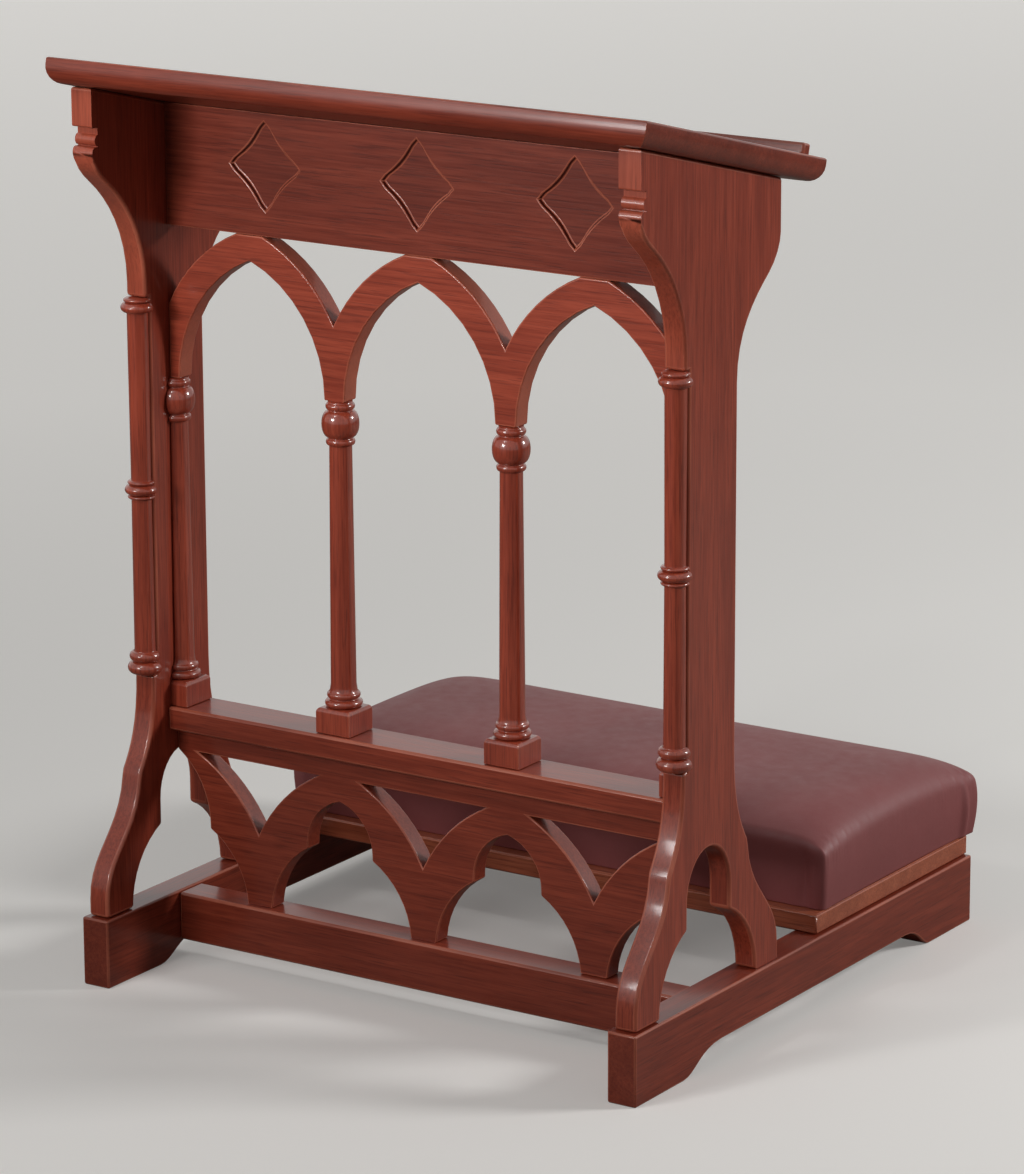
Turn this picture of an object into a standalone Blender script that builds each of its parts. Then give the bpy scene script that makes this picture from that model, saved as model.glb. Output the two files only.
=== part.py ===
"""Prayer kneeler: a sloped book desk on two shaped standards, tied by Gothic arcades and turned posts,
with a padded kneeling board behind it on the same pair of runners.

Metres, +Z up. The origin is on the floor, midway along the runners. The desk is towards -Y and the
kneeling pad towards +Y. Heights are stacked from the floor: runner, stretcher, lower arcade, middle rail,
turned posts, upper arcade, frieze, desk.
"""
import math
from collections import namedtuple

import bmesh
import bpy
from mathutils import Matrix, Vector

# Gap between pieces that touch, the easing of plain sawn edges, and the distance at which points merge
CLEARANCE = 0.0003
EASED_EDGE = 0.0015
MERGE_DISTANCE = 0.00001

# Runners on the floor
RUNNER_LENGTH = 0.600
RUNNER_HEIGHT = 0.065
RUNNER_THICKNESS = 0.029
RUNNER_FOOT_LENGTH = 0.080
SCALLOP_RISE = 0.020
FRONT_SCALLOP_RUN = 0.064
REAR_SCALLOP_RUN = 0.046
SCALLOP_FOOT_PULL = 0.30
SCALLOP_TOP_PULL = 0.42

# Standards: the two upright boards
STANDARD_THICKNESS = 0.022
STANDARD_SETBACK = 0.006
STANDARD_FOOT_WIDTH = 0.239
FOOT_EDGE_RISE = 0.015
KNEE_WIDTH = 0.134
KNEE_RISE = 0.121
KNEE_BAND = 0.006
KNEE_STEP = 0.0015
KNEE_FLARE = 0.006
BELLY_FOOT_PULL = 0.43
BELLY_KNEE_PULL = 0.52
COVE_SPREAD = 0.45
COVE_KNEE_PULL = 0.19
COVE_SHAFT_PULL = 0.42
SHAFT_WIDTH = 0.086
SHAFT_RISE = 0.213
HEAD_WIDTH = 0.229
FRONT_HEAD_EDGE = 0.0605
FRONT_CORBEL_HEIGHT = 0.128
FRONT_CORBEL_SWEEP = 0.0995
REAR_HEAD_EDGE = 0.0473
REAR_CORBEL_HEIGHT = 0.119
REAR_CORBEL_SWEEP = 0.085
CORBEL_LIP = 0.0205
CORBEL_SHAFT_PULL = 0.36
CORBEL_LEAN_RUN = 0.025
CORBEL_LEAN_RISE = 0.0188
HEAD_BLOCK_HEIGHT = 0.036
HEAD_BLOCK_CORNER = 0.002
HEAD_QUIRK_HEIGHT = 0.0065
HEAD_QUIRK_DEPTH = 0.008
HEAD_BEAD_HEIGHT = 0.0105
HEAD_BEAD_REACH = 0.0045
HEAD_SHOULDER_RADIUS = 0.0042

# Keyhole opening through each standard
KEYHOLE_SPAN = 0.160
KEYHOLE_SHOULDER_RADIUS = 0.075
KEYHOLE_NECK_WIDTH = 0.070
KEYHOLE_SPRING = 0.093
KEYHOLE_RISE = 0.135

# Split columns let into the standards' front edges
COLUMN_INSET = 0.0025
COLUMN_REBATE_DEPTH = 0.0058
COLUMN_HEADROOM = 0.012
COLUMN_SHAFT_RADIUS = 0.0095
COLUMN_RING_RADIUS = 0.0155
COLUMN_BEAD_RADIUS = 0.0128
COLUMN_BASE_RADIUS = 0.0165
COLUMN_RING_HEIGHT = 0.0095
COLUMN_BEAD_HEIGHT = 0.0040
COLUMN_BASE_HEIGHT = 0.012
COLUMN_QUIRK = 0.0005

# Arcades: the pierced boards between the standards
CLEAR_WIDTH = 0.546
ARCH_COUNT = 3
ARCADE_THICKNESS = 0.019
UPPER_ARCADE_HEIGHT = 0.1405
UPPER_LEG_WIDTH = 0.022
ARCH_RISE = 0.117
ARCH_BAND = 0.0272
LOWER_ARCADE_HEIGHT = 0.158
LOWER_LEG_WIDTH = 0.028
LOWER_TOP_BAND = 0.0215
SHOULDER_RADIUS = 0.082
SHOULDER_DROP = 0.0065
NECK_WIDTH = 0.071
NECK_SPRING = 0.0695
NECK_RISE = 0.0455

# Frieze board with its sunk lozenges
FRIEZE_HEIGHT = 0.1115
FRIEZE_THICKNESS = 0.019
LOZENGE_COUNT = 3
LOZENGE_SPACING = 0.163
LOZENGE_WIDTH = 0.0765
LOZENGE_HEIGHT = 0.082
LOZENGE_HOLLOW = 0.66
LOZENGE_TIP = 0.10
LOZENGE_LIFT = 0.0630
LOZENGE_DEPTH = 0.0035
LOZENGE_SLOPE = 0.0025

# Rails across
RAIL_THICKNESS = 0.022
RAIL_DEPTH = 0.047
STRETCHER_HEIGHT = 0.046
STRETCHER_DEPTH = 0.034
STRETCHER_DROP = 0.0015

# Stub tenons at the ends of the stretcher, the rail and the frieze, let into mortises
STRETCHER_TENON = (0.014, 0.012, 0.028)
RAIL_TENON = (0.010, 0.030, 0.010)
FRIEZE_TENON = (0.010, 0.009, 0.060)

# Turned posts on the middle rail
POST_HEIGHT = 0.3065
PLINTH_WIDTH = 0.037
PLINTH_HEIGHT = 0.0235
PLINTH_EASE = 0.0042
POST_FOOT_RADIUS = 0.0172
POST_FOOT_HEIGHT = 0.0072
POST_COLLAR_RADIUS = 0.0152
POST_COLLAR_HEIGHT = 0.0056
POST_NECK_RADIUS = 0.0112
POST_SHAFT_BOTTOM_RADIUS = 0.0117
POST_SHAFT_TOP_RADIUS = 0.0103
POST_RING_RADIUS = 0.0132
POST_RING_HEIGHT = 0.0060
POST_BALL_RADIUS = 0.0170
POST_BALL_HEIGHT = 0.0242
POST_GROOVE = 0.0011
POST_TOP_NECK = 0.0022
TENON_LENGTH = 0.012
TOP_TENON_RADIUS = 0.005
BOTTOM_TENON_RADIUS = 0.006

# Desk and its book ledge
DESK_SLOPE = math.radians(14.5)
DESK_LENGTH = 0.3035
DESK_THICKNESS = 0.022
DESK_END_OVERHANG = 0.015
DESK_FRONT_OVERHANG = 0.015
DESK_ROUND = 0.002
DESK_BAND = 0.0065
DESK_UNDERCUT = 0.0115
LEDGE_WIDTH = 0.012
LEDGE_HEIGHT = 0.0105
LEDGE_INSET = 0.008
LEDGE_END_INSET = 0.013
LEDGE_HOUSING = 0.002

# Cleats that hold the desk, out of sight behind the frieze
CLEAT_SIZE = 0.020
CLEAT_LENGTH = 0.080
CLEAT_GAP = 0.006

# Kneeling board, plywood base and cushion
KNEELER_DEPTH = 0.284
KNEELER_THICKNESS = 0.019
KNEELER_SIDE_INSET = 0.005
PAD_SIDE_INSET = 0.0005
PAD_FRONT_INSET = 0.012
PAD_BACK_OVERHANG = 0.008
PAD_EDGE_HEIGHT = 0.066
PAD_CROWN = 0.0235
PAD_END_FULLNESS = 16
PAD_SIDE_FULLNESS = 6
PAD_SHOULDER = 0.036
PAD_ROLL = 0.008
PAD_BULGE = 0.0045
PAD_BULGE_SPAN = 0.80
PAD_DRAW_IN = 0.002
PAD_CORNER_DROP = 0.0085
PAD_BASE_THICKNESS = 0.009
PAD_BASE_INSET = 0.008

# Dowels and screws
DOWEL_RADIUS = 0.004
DOWEL_LENGTH = 0.030
LONG_DOWEL_LENGTH = 0.040
THIN_DOWEL_RADIUS = 0.003
THIN_DOWEL_LENGTH = 0.016
LEDGE_DOWEL_RADIUS = 0.0025
LEDGE_DOWEL_LENGTH = 0.012
FOOT_DOWEL_SPACING = 0.018
ARCADE_END_DOWEL_RISE = 0.046
LEDGE_DOWEL_COUNT = 3
LEDGE_DOWEL_MARGIN = 0.060
SCREW_HEAD_RADIUS = 0.004
SCREW_HEAD_HEIGHT = 0.003
SCREW_RADIUS = 0.002
SCREW_POINT = 0.005
CLEAT_SCREW_LENGTH = 0.031
BOARD_SCREW_LENGTH = 0.045
PAD_SCREW_LENGTH = 0.0245
SCREW_SINK = 0.0005
DESK_SCREW_SPACING = 0.050
CLEAT_SCREW_SPACING = 0.022
BOARD_SCREW_MARGIN = 0.040
PAD_SCREW_MARGIN = 0.090

# How finely curves are cut into straight steps
TURNING_SIDES = 16
DOWEL_SIDES = 8
SCREW_SIDES = 6
ARC_STEPS = 8
BEAD_STEPS = 4
BALL_STEPS = 7
EDGE_STEPS = 6
CORNER_STEPS = 3
LOZENGE_STEPS = 40

# Places that follow from the sizes above
half_clear = CLEAR_WIDTH / 2
arch_spacing = CLEAR_WIDTH / ARCH_COUNT
standard_x = half_clear + STANDARD_THICKNESS / 2
frame_y = -RUNNER_LENGTH / 2 + STANDARD_SETBACK + STANDARD_FOOT_WIDTH / 2
standard_base = RUNNER_HEIGHT + CLEARANCE
stretcher_top = RUNNER_HEIGHT - STRETCHER_DROP
lower_arcade_base = stretcher_top + CLEARANCE
rail_base = lower_arcade_base + LOWER_ARCADE_HEIGHT + CLEARANCE
post_base = rail_base + RAIL_THICKNESS + CLEARANCE
upper_arcade_base = post_base + POST_HEIGHT + CLEARANCE
frieze_base = upper_arcade_base + UPPER_ARCADE_HEIGHT + CLEARANCE
frieze_front = frame_y - FRIEZE_THICKNESS / 2
half_inner = half_clear - CLEARANCE
kneeler_base = RUNNER_HEIGHT + CLEARANCE
kneeler_top = kneeler_base + KNEELER_THICKNESS
kneeler_half = standard_x + RUNNER_THICKNESS / 2 - KNEELER_SIDE_INSET
kneeler_back = RUNNER_LENGTH / 2
kneeler_front = kneeler_back - KNEELER_DEPTH
pad_base_z = kneeler_top + CLEARANCE
desk_half = standard_x + STANDARD_THICKNESS / 2 + DESK_END_OVERHANG
desk_front = frame_y - HEAD_WIDTH / 2 - DESK_FRONT_OVERHANG

Pin = namedtuple("Pin", "centre axis radius length")
Screw = namedtuple("Screw", "head axis length")

# An outline drawn as (x, z) has its thickness along Y, and one drawn as (y, z) has it along X
FACING_FRONT = Matrix(((1, 0, 0, 0), (0, 0, -1, 0), (0, 1, 0, 0), (0, 0, 0, 1)))
FACING_SIDE = Matrix(((0, 0, 1, 0), (1, 0, 0, 0), (0, 1, 0, 0), (0, 0, 0, 1)))


def desk_underside(y):
    """Height of the desk's sloped underside at depth y."""
    return frieze_base + FRIEZE_HEIGHT + CLEARANCE - (y - frieze_front) * math.tan(DESK_SLOPE)


def desk_frame():
    """Frame of the desk: X across, Y down the slope, Z square to the top, from the top front edge."""
    top = desk_underside(desk_front) + DESK_THICKNESS / math.cos(DESK_SLOPE)
    return Matrix.Translation((0, desk_front, top)) @ Matrix.Rotation(-DESK_SLOPE, 4, "X")


# Tools that make meshes and objects

def clear_scene():
    for item in list(bpy.data.objects):
        bpy.data.objects.remove(item, do_unlink=True)


def new_collection(name):
    group = bpy.data.collections.new(name)
    bpy.context.scene.collection.children.link(group)
    return group


def finish(name, colour, roughness, metallic=0.0):
    material = bpy.data.materials.new(name)
    material.use_nodes = True
    shader = material.node_tree.nodes["Principled BSDF"]
    shader.inputs["Base Color"].default_value = (*colour, 1.0)
    shader.inputs["Roughness"].default_value = roughness
    shader.inputs["Metallic"].default_value = metallic
    return material


def add_part(name, mesh, material, matrix=Matrix()):
    mesh.name = name
    mesh.materials.clear()
    mesh.materials.append(material)
    piece = bpy.data.objects.new(name, mesh)
    piece.matrix_world = matrix
    parts.objects.link(piece)
    return piece


def add_cutter(name, mesh, matrix=Matrix()):
    cutter = bpy.data.objects.new(name, mesh)
    cutter.matrix_world = matrix
    cutter.hide_render = True
    cutter.display_type = "WIRE"
    cutters.objects.link(cutter)
    return cutter


def combine(piece, other, operation):
    modifier = piece.modifiers.new(other.name, "BOOLEAN")
    modifier.operation = operation
    modifier.solver = "EXACT"
    modifier.object = other


def ease_edges(piece, width):
    modifier = piece.modifiers.new("eased edges", "BEVEL")
    modifier.width = width
    modifier.segments = 1
    modifier.limit_method = "ANGLE"
    modifier.angle_limit = math.radians(40)


def mesh_from(bm, name):
    bmesh.ops.recalc_face_normals(bm, faces=bm.faces)
    mesh = bpy.data.meshes.new(name)
    bm.to_mesh(mesh)
    bm.free()
    return mesh


def evaluated_mesh(source):
    """The mesh of an object as its modifiers or curve settings make it; the object is then removed."""
    bpy.context.scene.collection.objects.link(source)
    graph = bpy.context.evaluated_depsgraph_get()
    mesh = bpy.data.meshes.new_from_object(source.evaluated_get(graph))
    bpy.data.objects.remove(source, do_unlink=True)
    return mesh


def outline_mesh(name, outline, thickness):
    """A flat board cut to an outline, its thickness halved by the outline's plane."""
    curve = bpy.data.curves.new(name, "CURVE")
    curve.dimensions = "2D"
    curve.fill_mode = "BOTH"
    curve.extrude = thickness / 2
    spline = curve.splines.new("POLY")
    spline.points.add(len(outline) - 1)
    for point, (u, v) in zip(spline.points, outline):
        point.co = (u, v, 0, 1)
    spline.use_cyclic_u = True
    mesh = evaluated_mesh(bpy.data.objects.new(name, curve))
    bm = bmesh.new()
    bm.from_mesh(mesh)
    bmesh.ops.remove_doubles(bm, verts=bm.verts, dist=MERGE_DISTANCE)
    return mesh_from(bm, name)


def turned_mesh(name, profile, sides):
    """A turning: the profile of (radius, height) runs from the top of the axis to its bottom."""
    mesh = bpy.data.meshes.new(name)
    bm = bmesh.new()
    line = [bm.verts.new((radius, 0, height)) for radius, height in profile]
    for upper, lower in zip(line, line[1:]):
        bm.edges.new((upper, lower))
    bm.to_mesh(mesh)
    bm.free()
    blank = bpy.data.objects.new(name, mesh)
    screw = blank.modifiers.new("turning", "SCREW")
    screw.axis = "Z"
    screw.steps = sides
    screw.render_steps = sides
    screw.use_merge_vertices = True
    screw.merge_threshold = MERGE_DISTANCE
    turned = evaluated_mesh(blank)
    turned.shade_smooth()
    turned.set_sharp_from_angle(angle=math.radians(35))
    return turned


def box_mesh(name, low, high):
    bm = bmesh.new()
    size = Vector(high) - Vector(low)
    place = Matrix.Translation((Vector(low) + Vector(high)) / 2) @ Matrix.Diagonal((*size, 1))
    bmesh.ops.create_cube(bm, size=1, matrix=place)
    return mesh_from(bm, name)


def facing(axis):
    return Vector((0, 0, 1)).rotation_difference(Vector(axis)).to_matrix().to_4x4()


def pin_mesh(name, pin, margin=0.0, sides=DOWEL_SIDES):
    bm = bmesh.new()
    place = Matrix.Translation(pin.centre) @ facing(pin.axis)
    radius = pin.radius + margin
    bmesh.ops.create_cone(bm, cap_ends=True, segments=sides, radius1=radius, radius2=radius,
                          depth=pin.length + 2 * margin, matrix=place)
    return mesh_from(bm, name)


def screw_profile():
    """A countersunk screw from the middle of its sunk head down, for a length to be added at its end."""
    neck = -SCREW_SINK - SCREW_HEAD_HEIGHT
    return [(0, -SCREW_SINK), (SCREW_HEAD_RADIUS, -SCREW_SINK), (SCREW_RADIUS, neck)]


def screw_mesh(name, screw):
    profile = screw_profile() + [(SCREW_RADIUS, SCREW_POINT - screw.length), (0, -screw.length)]
    return placed_turning(name, profile, screw)


def screw_hole_mesh(name, screw):
    (_, sink), (head, _), (shank, under) = screw_profile()
    end = -screw.length - CLEARANCE
    head += CLEARANCE
    shank += CLEARANCE
    profile = [(0, CLEARANCE), (head, CLEARANCE), (head, sink), (shank, under), (shank, end), (0, end)]
    return placed_turning(name, profile, screw)


def placed_turning(name, profile, screw):
    mesh = turned_mesh(name, profile, SCREW_SIDES)
    mesh.transform(Matrix.Translation(screw.head) @ facing(-Vector(screw.axis)))
    return mesh


def drill(piece, pins, sides=DOWEL_SIDES):
    for pin in pins:
        hole = add_cutter(piece.name + " hole", pin_mesh("hole", pin, CLEARANCE, sides))
        combine(piece, hole, "DIFFERENCE")


def drill_for_screws(piece, screws):
    for screw in screws:
        combine(piece, add_cutter(piece.name + " screw hole", screw_hole_mesh("hole", screw)), "DIFFERENCE")


def on_its_side(piece, x):
    """Left pieces take the fasteners on the left, right pieces those on the right, and the rest take all."""
    if piece.name.startswith("left_"):
        return x < 0
    if piece.name.startswith("right_"):
        return x > 0
    return True


def tenon_mesh(shoulder, middle, size, margin=0.0):
    """A bar right through a rail whose ends stand out past its shoulders as tenons."""
    length, depth, height = size
    reach = Vector((shoulder + length, depth / 2, height / 2)) + Vector((margin, margin, margin))
    return box_mesh("tenon", Vector(middle) - reach, Vector(middle) + reach)


def join_with_tenons(rail, sides, shoulder, middle, size):
    """Give a rail its tenons, and the pieces at its sides the mortises for them."""
    combine(rail, add_cutter(rail.name + " tenon", tenon_mesh(shoulder, middle, size)), "UNION")
    for piece in sides:
        mortise = tenon_mesh(shoulder, middle, size, CLEARANCE)
        combine(piece, add_cutter(piece.name + " mortise", mortise), "DIFFERENCE")


# Lines that outlines are drawn with

def arc(centre, radius, start, end, steps=ARC_STEPS, rise=1.0):
    """Points on an arc from one angle to another; a rise other than 1 makes it an ellipse."""
    points = []
    for step in range(steps + 1):
        angle = start + (end - start) * step / steps
        points.append((centre[0] + radius * math.cos(angle), centre[1] + rise * radius * math.sin(angle)))
    return points


def sweep(start, pull, push, end, steps=ARC_STEPS):
    """Points on a cubic curve through start and end."""
    points = []
    for step in range(steps + 1):
        t = step / steps
        weights = ((1 - t) ** 3, 3 * t * (1 - t) ** 2, 3 * t * t * (1 - t), t ** 3)
        points.append(tuple(sum(w * p[k] for w, p in zip(weights, (start, pull, push, end))) for k in (0, 1)))
    return points


def without_repeats(points):
    """The loop with points that fall on the one before them left out."""
    kept = []
    for point in points:
        if not kept or math.dist(point, kept[-1]) > CLEARANCE / 10:
            kept.append(point)
    if math.dist(kept[0], kept[-1]) < CLEARANCE / 10:
        kept.pop()
    return kept


def flipped(points):
    """The same line seen from the other side, run backwards."""
    return [(-u, v) for u, v in reversed(points)]


def bead(radius, root, middle, height, steps=BEAD_STEPS):
    """A half-round bead on a turning, from its upper edge to its lower."""
    points = []
    for step in range(steps + 1):
        angle = math.pi / 2 - math.pi * step / steps
        points.append((root + (radius - root) * math.cos(angle), middle + height / 2 * math.sin(angle)))
    return points


# Runners

def scallop_end(foot, run):
    """The S-shaped rise from a foot's inner end to the scallop's flat."""
    return sweep((foot, 0), (foot + SCALLOP_FOOT_PULL * run, 0),
                 (foot + SCALLOP_TOP_PULL * run, SCALLOP_RISE), (foot + run, SCALLOP_RISE))


def make_runner(name, x):
    half = RUNNER_LENGTH / 2
    front = [(y - half, z) for y, z in scallop_end(RUNNER_FOOT_LENGTH, FRONT_SCALLOP_RUN)]
    rear = [(half - y, z) for y, z in scallop_end(RUNNER_FOOT_LENGTH, REAR_SCALLOP_RUN)]
    loop = [(-half, RUNNER_HEIGHT), (-half, 0)] + front + rear[::-1] + [(half, 0), (half, RUNNER_HEIGHT)]
    mesh = outline_mesh(name, loop, RUNNER_THICKNESS)
    return add_part(name, mesh, stained_wood, Matrix.Translation((x, 0, 0)) @ FACING_SIDE)


# Standards

def corbel(height, sweep_height):
    """One corbel of a standard's head as (half width, height above the corbel's foot)."""
    shaft = SHAFT_WIDTH / 2
    head = HEAD_WIDTH / 2
    turn = (head - CORBEL_LIP, sweep_height)
    lean = Vector((CORBEL_LEAN_RUN, CORBEL_LEAN_RISE))
    hollow = sweep((shaft, 0), (shaft, CORBEL_SHAFT_PULL * height),
                   (turn[0] - lean.x, turn[1] - lean.y), turn)
    lip = sweep(turn, (turn[0] + lean.x / 2, turn[1] + lean.y / 2), (head, height - CORBEL_LIP / 2),
                (head, height), ARC_STEPS // 2)
    return hollow + lip


def standard_leg():
    """The outer edge from the foot to the shaft, as (half width, height above the base)."""
    foot = STANDARD_FOOT_WIDTH / 2
    knee = KNEE_WIDTH / 2
    shaft = SHAFT_WIDTH / 2
    fall = KNEE_RISE - FOOT_EDGE_RISE
    belly = sweep((foot, FOOT_EDGE_RISE), (foot, FOOT_EDGE_RISE + BELLY_FOOT_PULL * fall),
                  (knee + KNEE_FLARE, FOOT_EDGE_RISE + BELLY_KNEE_PULL * fall), (knee, KNEE_RISE),
                  ARC_STEPS + 2)
    band = (knee - KNEE_STEP, KNEE_RISE + KNEE_BAND)
    climb = SHAFT_RISE - band[1]
    cove = sweep(band, (band[0] - COVE_SPREAD * (band[0] - shaft), band[1] + COVE_KNEE_PULL * climb),
                 (shaft, band[1] + COVE_SHAFT_PULL * climb), (shaft, SHAFT_RISE))
    return [(foot, 0)] + belly + cove


def head_notch(top):
    """The quirk, bead and shoulder in the head's front edge, from the top down, as (half width, height)."""
    head = HEAD_WIDTH / 2
    floor = head - HEAD_QUIRK_DEPTH
    upper = top - HEAD_BLOCK_HEIGHT
    middle = upper - HEAD_QUIRK_HEIGHT - HEAD_BEAD_HEIGHT / 2
    lower = middle - HEAD_BEAD_HEIGHT / 2 - COLUMN_QUIRK
    small, large = HEAD_BLOCK_CORNER, HEAD_SHOULDER_RADIUS
    corner = arc((head - small, upper + small), small, 0, -math.pi / 2, CORNER_STEPS)
    half_round = arc((floor, middle), HEAD_BEAD_REACH, math.pi / 2, -math.pi / 2, BEAD_STEPS + 1,
                     HEAD_BEAD_HEIGHT / 2 / HEAD_BEAD_REACH)
    shoulder = arc((head - large, lower - large), large, math.pi / 2, 0, CORNER_STEPS)
    return corner + [(floor, upper)] + half_round + [(floor, lower)] + shoulder


def keyhole():
    """The opening from the rear leg over to the front leg, as (offset, height above the base)."""
    neck = KEYHOLE_NECK_WIDTH / 2
    centre = KEYHOLE_SPAN / 2 - KEYHOLE_SHOULDER_RADIUS
    cusp = math.acos((neck - centre) / KEYHOLE_SHOULDER_RADIUS)
    shoulder = arc((centre, 0), KEYHOLE_SHOULDER_RADIUS, 0, cusp)
    crown = arc((0, KEYHOLE_SPRING), neck, 0, math.pi / 2, ARC_STEPS, (KEYHOLE_RISE - KEYHOLE_SPRING) / neck)
    half = shoulder + crown
    return half + flipped(half)


def column_rebate():
    """Bottom and top of the rebate in the front edge that takes a split column."""
    corbel_foot = desk_underside(frame_y - HEAD_WIDTH / 2) - CLEARANCE - FRONT_HEAD_EDGE - FRONT_CORBEL_HEIGHT
    return standard_base + SHAFT_RISE, corbel_foot - COLUMN_HEADROOM


def standard_outline():
    front_top = desk_underside(frame_y - HEAD_WIDTH / 2) - CLEARANCE
    rear_top = desk_underside(frame_y + HEAD_WIDTH / 2) - CLEARANCE
    shaft = SHAFT_WIDTH / 2
    leg = [(w, standard_base + z) for w, z in standard_leg()]
    rear_foot = rear_top - REAR_HEAD_EDGE - REAR_CORBEL_HEIGHT
    rear = leg + [(w, rear_foot + z) for w, z in corbel(REAR_CORBEL_HEIGHT, REAR_CORBEL_SWEEP)]
    rear.append((HEAD_WIDTH / 2, rear_top))
    front_foot = front_top - FRONT_HEAD_EDGE - FRONT_CORBEL_HEIGHT
    rebate_bottom, rebate_top = column_rebate()
    rebate = shaft - COLUMN_REBATE_DEPTH
    front = leg + [(rebate, rebate_bottom), (rebate, rebate_top), (shaft, rebate_top)]
    front += [(w, front_foot + z) for w, z in corbel(FRONT_CORBEL_HEIGHT, FRONT_CORBEL_SWEEP)]
    front += reversed(head_notch(front_top))
    front.append((HEAD_WIDTH / 2, front_top))
    opening = [(w, standard_base + z) for w, z in keyhole()]
    loop = rear + flipped(front) + opening[::-1]
    return without_repeats([(frame_y + w, z) for w, z in loop])


def make_standard(name, x):
    mesh = outline_mesh(name, standard_outline(), STANDARD_THICKNESS)
    return add_part(name, mesh, stained_wood, Matrix.Translation((x, 0, 0)) @ FACING_SIDE)


# Split columns

def column_profile(length):
    """The column's turning from its top to its foot."""
    shaft = COLUMN_SHAFT_RADIUS
    root = shaft + COLUMN_QUIRK
    ring = COLUMN_RING_HEIGHT
    small = COLUMN_BEAD_HEIGHT
    base = COLUMN_BASE_HEIGHT
    middle = length / 2 - small / 2
    line = [(0, length), (root, length)]
    line += bead(COLUMN_BEAD_RADIUS, root, length - small / 2 - CLEARANCE, small)
    line += bead(COLUMN_RING_RADIUS, root, length - small - ring / 2 - CLEARANCE, ring)
    line += bead(COLUMN_BEAD_RADIUS, shaft, middle + (ring + small) / 2, small)
    line += bead(COLUMN_RING_RADIUS, shaft, middle, ring)
    line += bead(COLUMN_BEAD_RADIUS, shaft, middle - (ring + small) / 2, small)
    line += bead((COLUMN_BASE_RADIUS + COLUMN_BEAD_RADIUS) / 2, root, base + ring / 2 + CLEARANCE, ring)
    line += bead(COLUMN_BASE_RADIUS, root, base / 2 + CLEARANCE, base)
    return without_repeats(line + [(root, 0), (0, 0)])


def make_column(name, x):
    bottom, top = column_rebate()
    axis_y = frame_y - SHAFT_WIDTH / 2 + COLUMN_INSET
    back_y = frame_y - SHAFT_WIDTH / 2 + COLUMN_REBATE_DEPTH - CLEARANCE
    length = top - bottom - 2 * CLEARANCE
    place = Matrix.Translation((x, axis_y, bottom + CLEARANCE))
    column = add_part(name, turned_mesh(name, column_profile(length), TURNING_SIDES), stained_wood, place)
    reach = 2 * COLUMN_BASE_RADIUS
    waste = box_mesh("waste", (x - reach, back_y, bottom - reach), (x + reach, back_y + reach, top + reach))
    combine(column, add_cutter(name + " sawn back", waste), "DIFFERENCE")
    return column


# Turned posts

def post_profile(tenons):
    """A post's turning above its plinth, from its top down, with or without a tenon at each end."""
    ring, ball = POST_RING_HEIGHT, POST_BALL_HEIGHT
    neck, gap = POST_NECK_RADIUS, POST_GROOVE
    top = POST_HEIGHT
    line = [(0, top)]
    if tenons:
        line = [(0, top + TENON_LENGTH), (TOP_TENON_RADIUS, top + TENON_LENGTH), (TOP_TENON_RADIUS, top)]
    level = top - POST_TOP_NECK - ring / 2
    line += [(neck, top)] + bead(POST_RING_RADIUS, neck, level, ring)
    level -= ring / 2 + gap + ball / 2
    line += bead(POST_BALL_RADIUS, neck, level, ball, BALL_STEPS)
    level -= ball / 2 + gap + ring / 2
    line += bead(POST_RING_RADIUS, neck, level, ring)
    line.append((POST_SHAFT_TOP_RADIUS, level - ring / 2 - gap))
    collar = PLINTH_HEIGHT + POST_FOOT_HEIGHT + gap + POST_COLLAR_HEIGHT / 2
    flare = collar + POST_COLLAR_HEIGHT / 2
    line.append((POST_SHAFT_BOTTOM_RADIUS, flare + POST_FOOT_HEIGHT))
    line.append(((POST_SHAFT_BOTTOM_RADIUS + POST_RING_RADIUS) / 2, flare + 2 * gap))
    line += bead(POST_COLLAR_RADIUS, POST_RING_RADIUS, collar, POST_COLLAR_HEIGHT)
    line += bead(POST_FOOT_RADIUS, POST_RING_RADIUS, PLINTH_HEIGHT + POST_FOOT_HEIGHT / 2, POST_FOOT_HEIGHT)
    sunk = PLINTH_HEIGHT / 2
    foot = -TENON_LENGTH if tenons else sunk
    radius = BOTTOM_TENON_RADIUS
    return without_repeats(line + [(POST_RING_RADIUS, sunk), (radius, sunk), (radius, foot), (0, foot)])


def plinth_mesh(name):
    """The square block under a post, with its top edges eased."""
    half = PLINTH_WIDTH / 2
    bm = bmesh.new()
    bm.from_mesh(box_mesh(name, (-half, -half, 0), (half, half, PLINTH_HEIGHT)))
    upper = [edge for edge in bm.edges if all(vert.co.z > PLINTH_HEIGHT / 2 for vert in edge.verts)]
    bmesh.ops.bevel(bm, geom=upper, offset=PLINTH_EASE, segments=2, profile=0.5, affect="EDGES")
    return mesh_from(bm, name)


def make_post(name, x, kept_side):
    """A post on the middle rail; a kept side of -1 or 1 leaves the half that lies on that side of x."""
    place = Matrix.Translation((x, frame_y, post_base))
    post = add_part(name, plinth_mesh(name), stained_wood, place)
    turning = turned_mesh("turning", post_profile(not kept_side), TURNING_SIDES)
    combine(post, add_cutter(name + " turning", turning, place), "UNION")
    if kept_side:
        reach = PLINTH_WIDTH
        near = x + kept_side * CLEARANCE
        far = x - kept_side * reach
        waste = box_mesh("waste", (min(near, far), frame_y - reach, post_base - reach),
                         (max(near, far), frame_y + reach, post_base + POST_HEIGHT + reach))
        combine(post, add_cutter(name + " sawn back", waste), "DIFFERENCE")
    return post


# Arcades

def pointed_arch(half_span, rise):
    """Radius of a two-centred arch, and how far each centre lies across the arch's axis."""
    radius = (half_span ** 2 + rise ** 2) / (2 * half_span)
    return radius, radius - half_span


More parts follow.
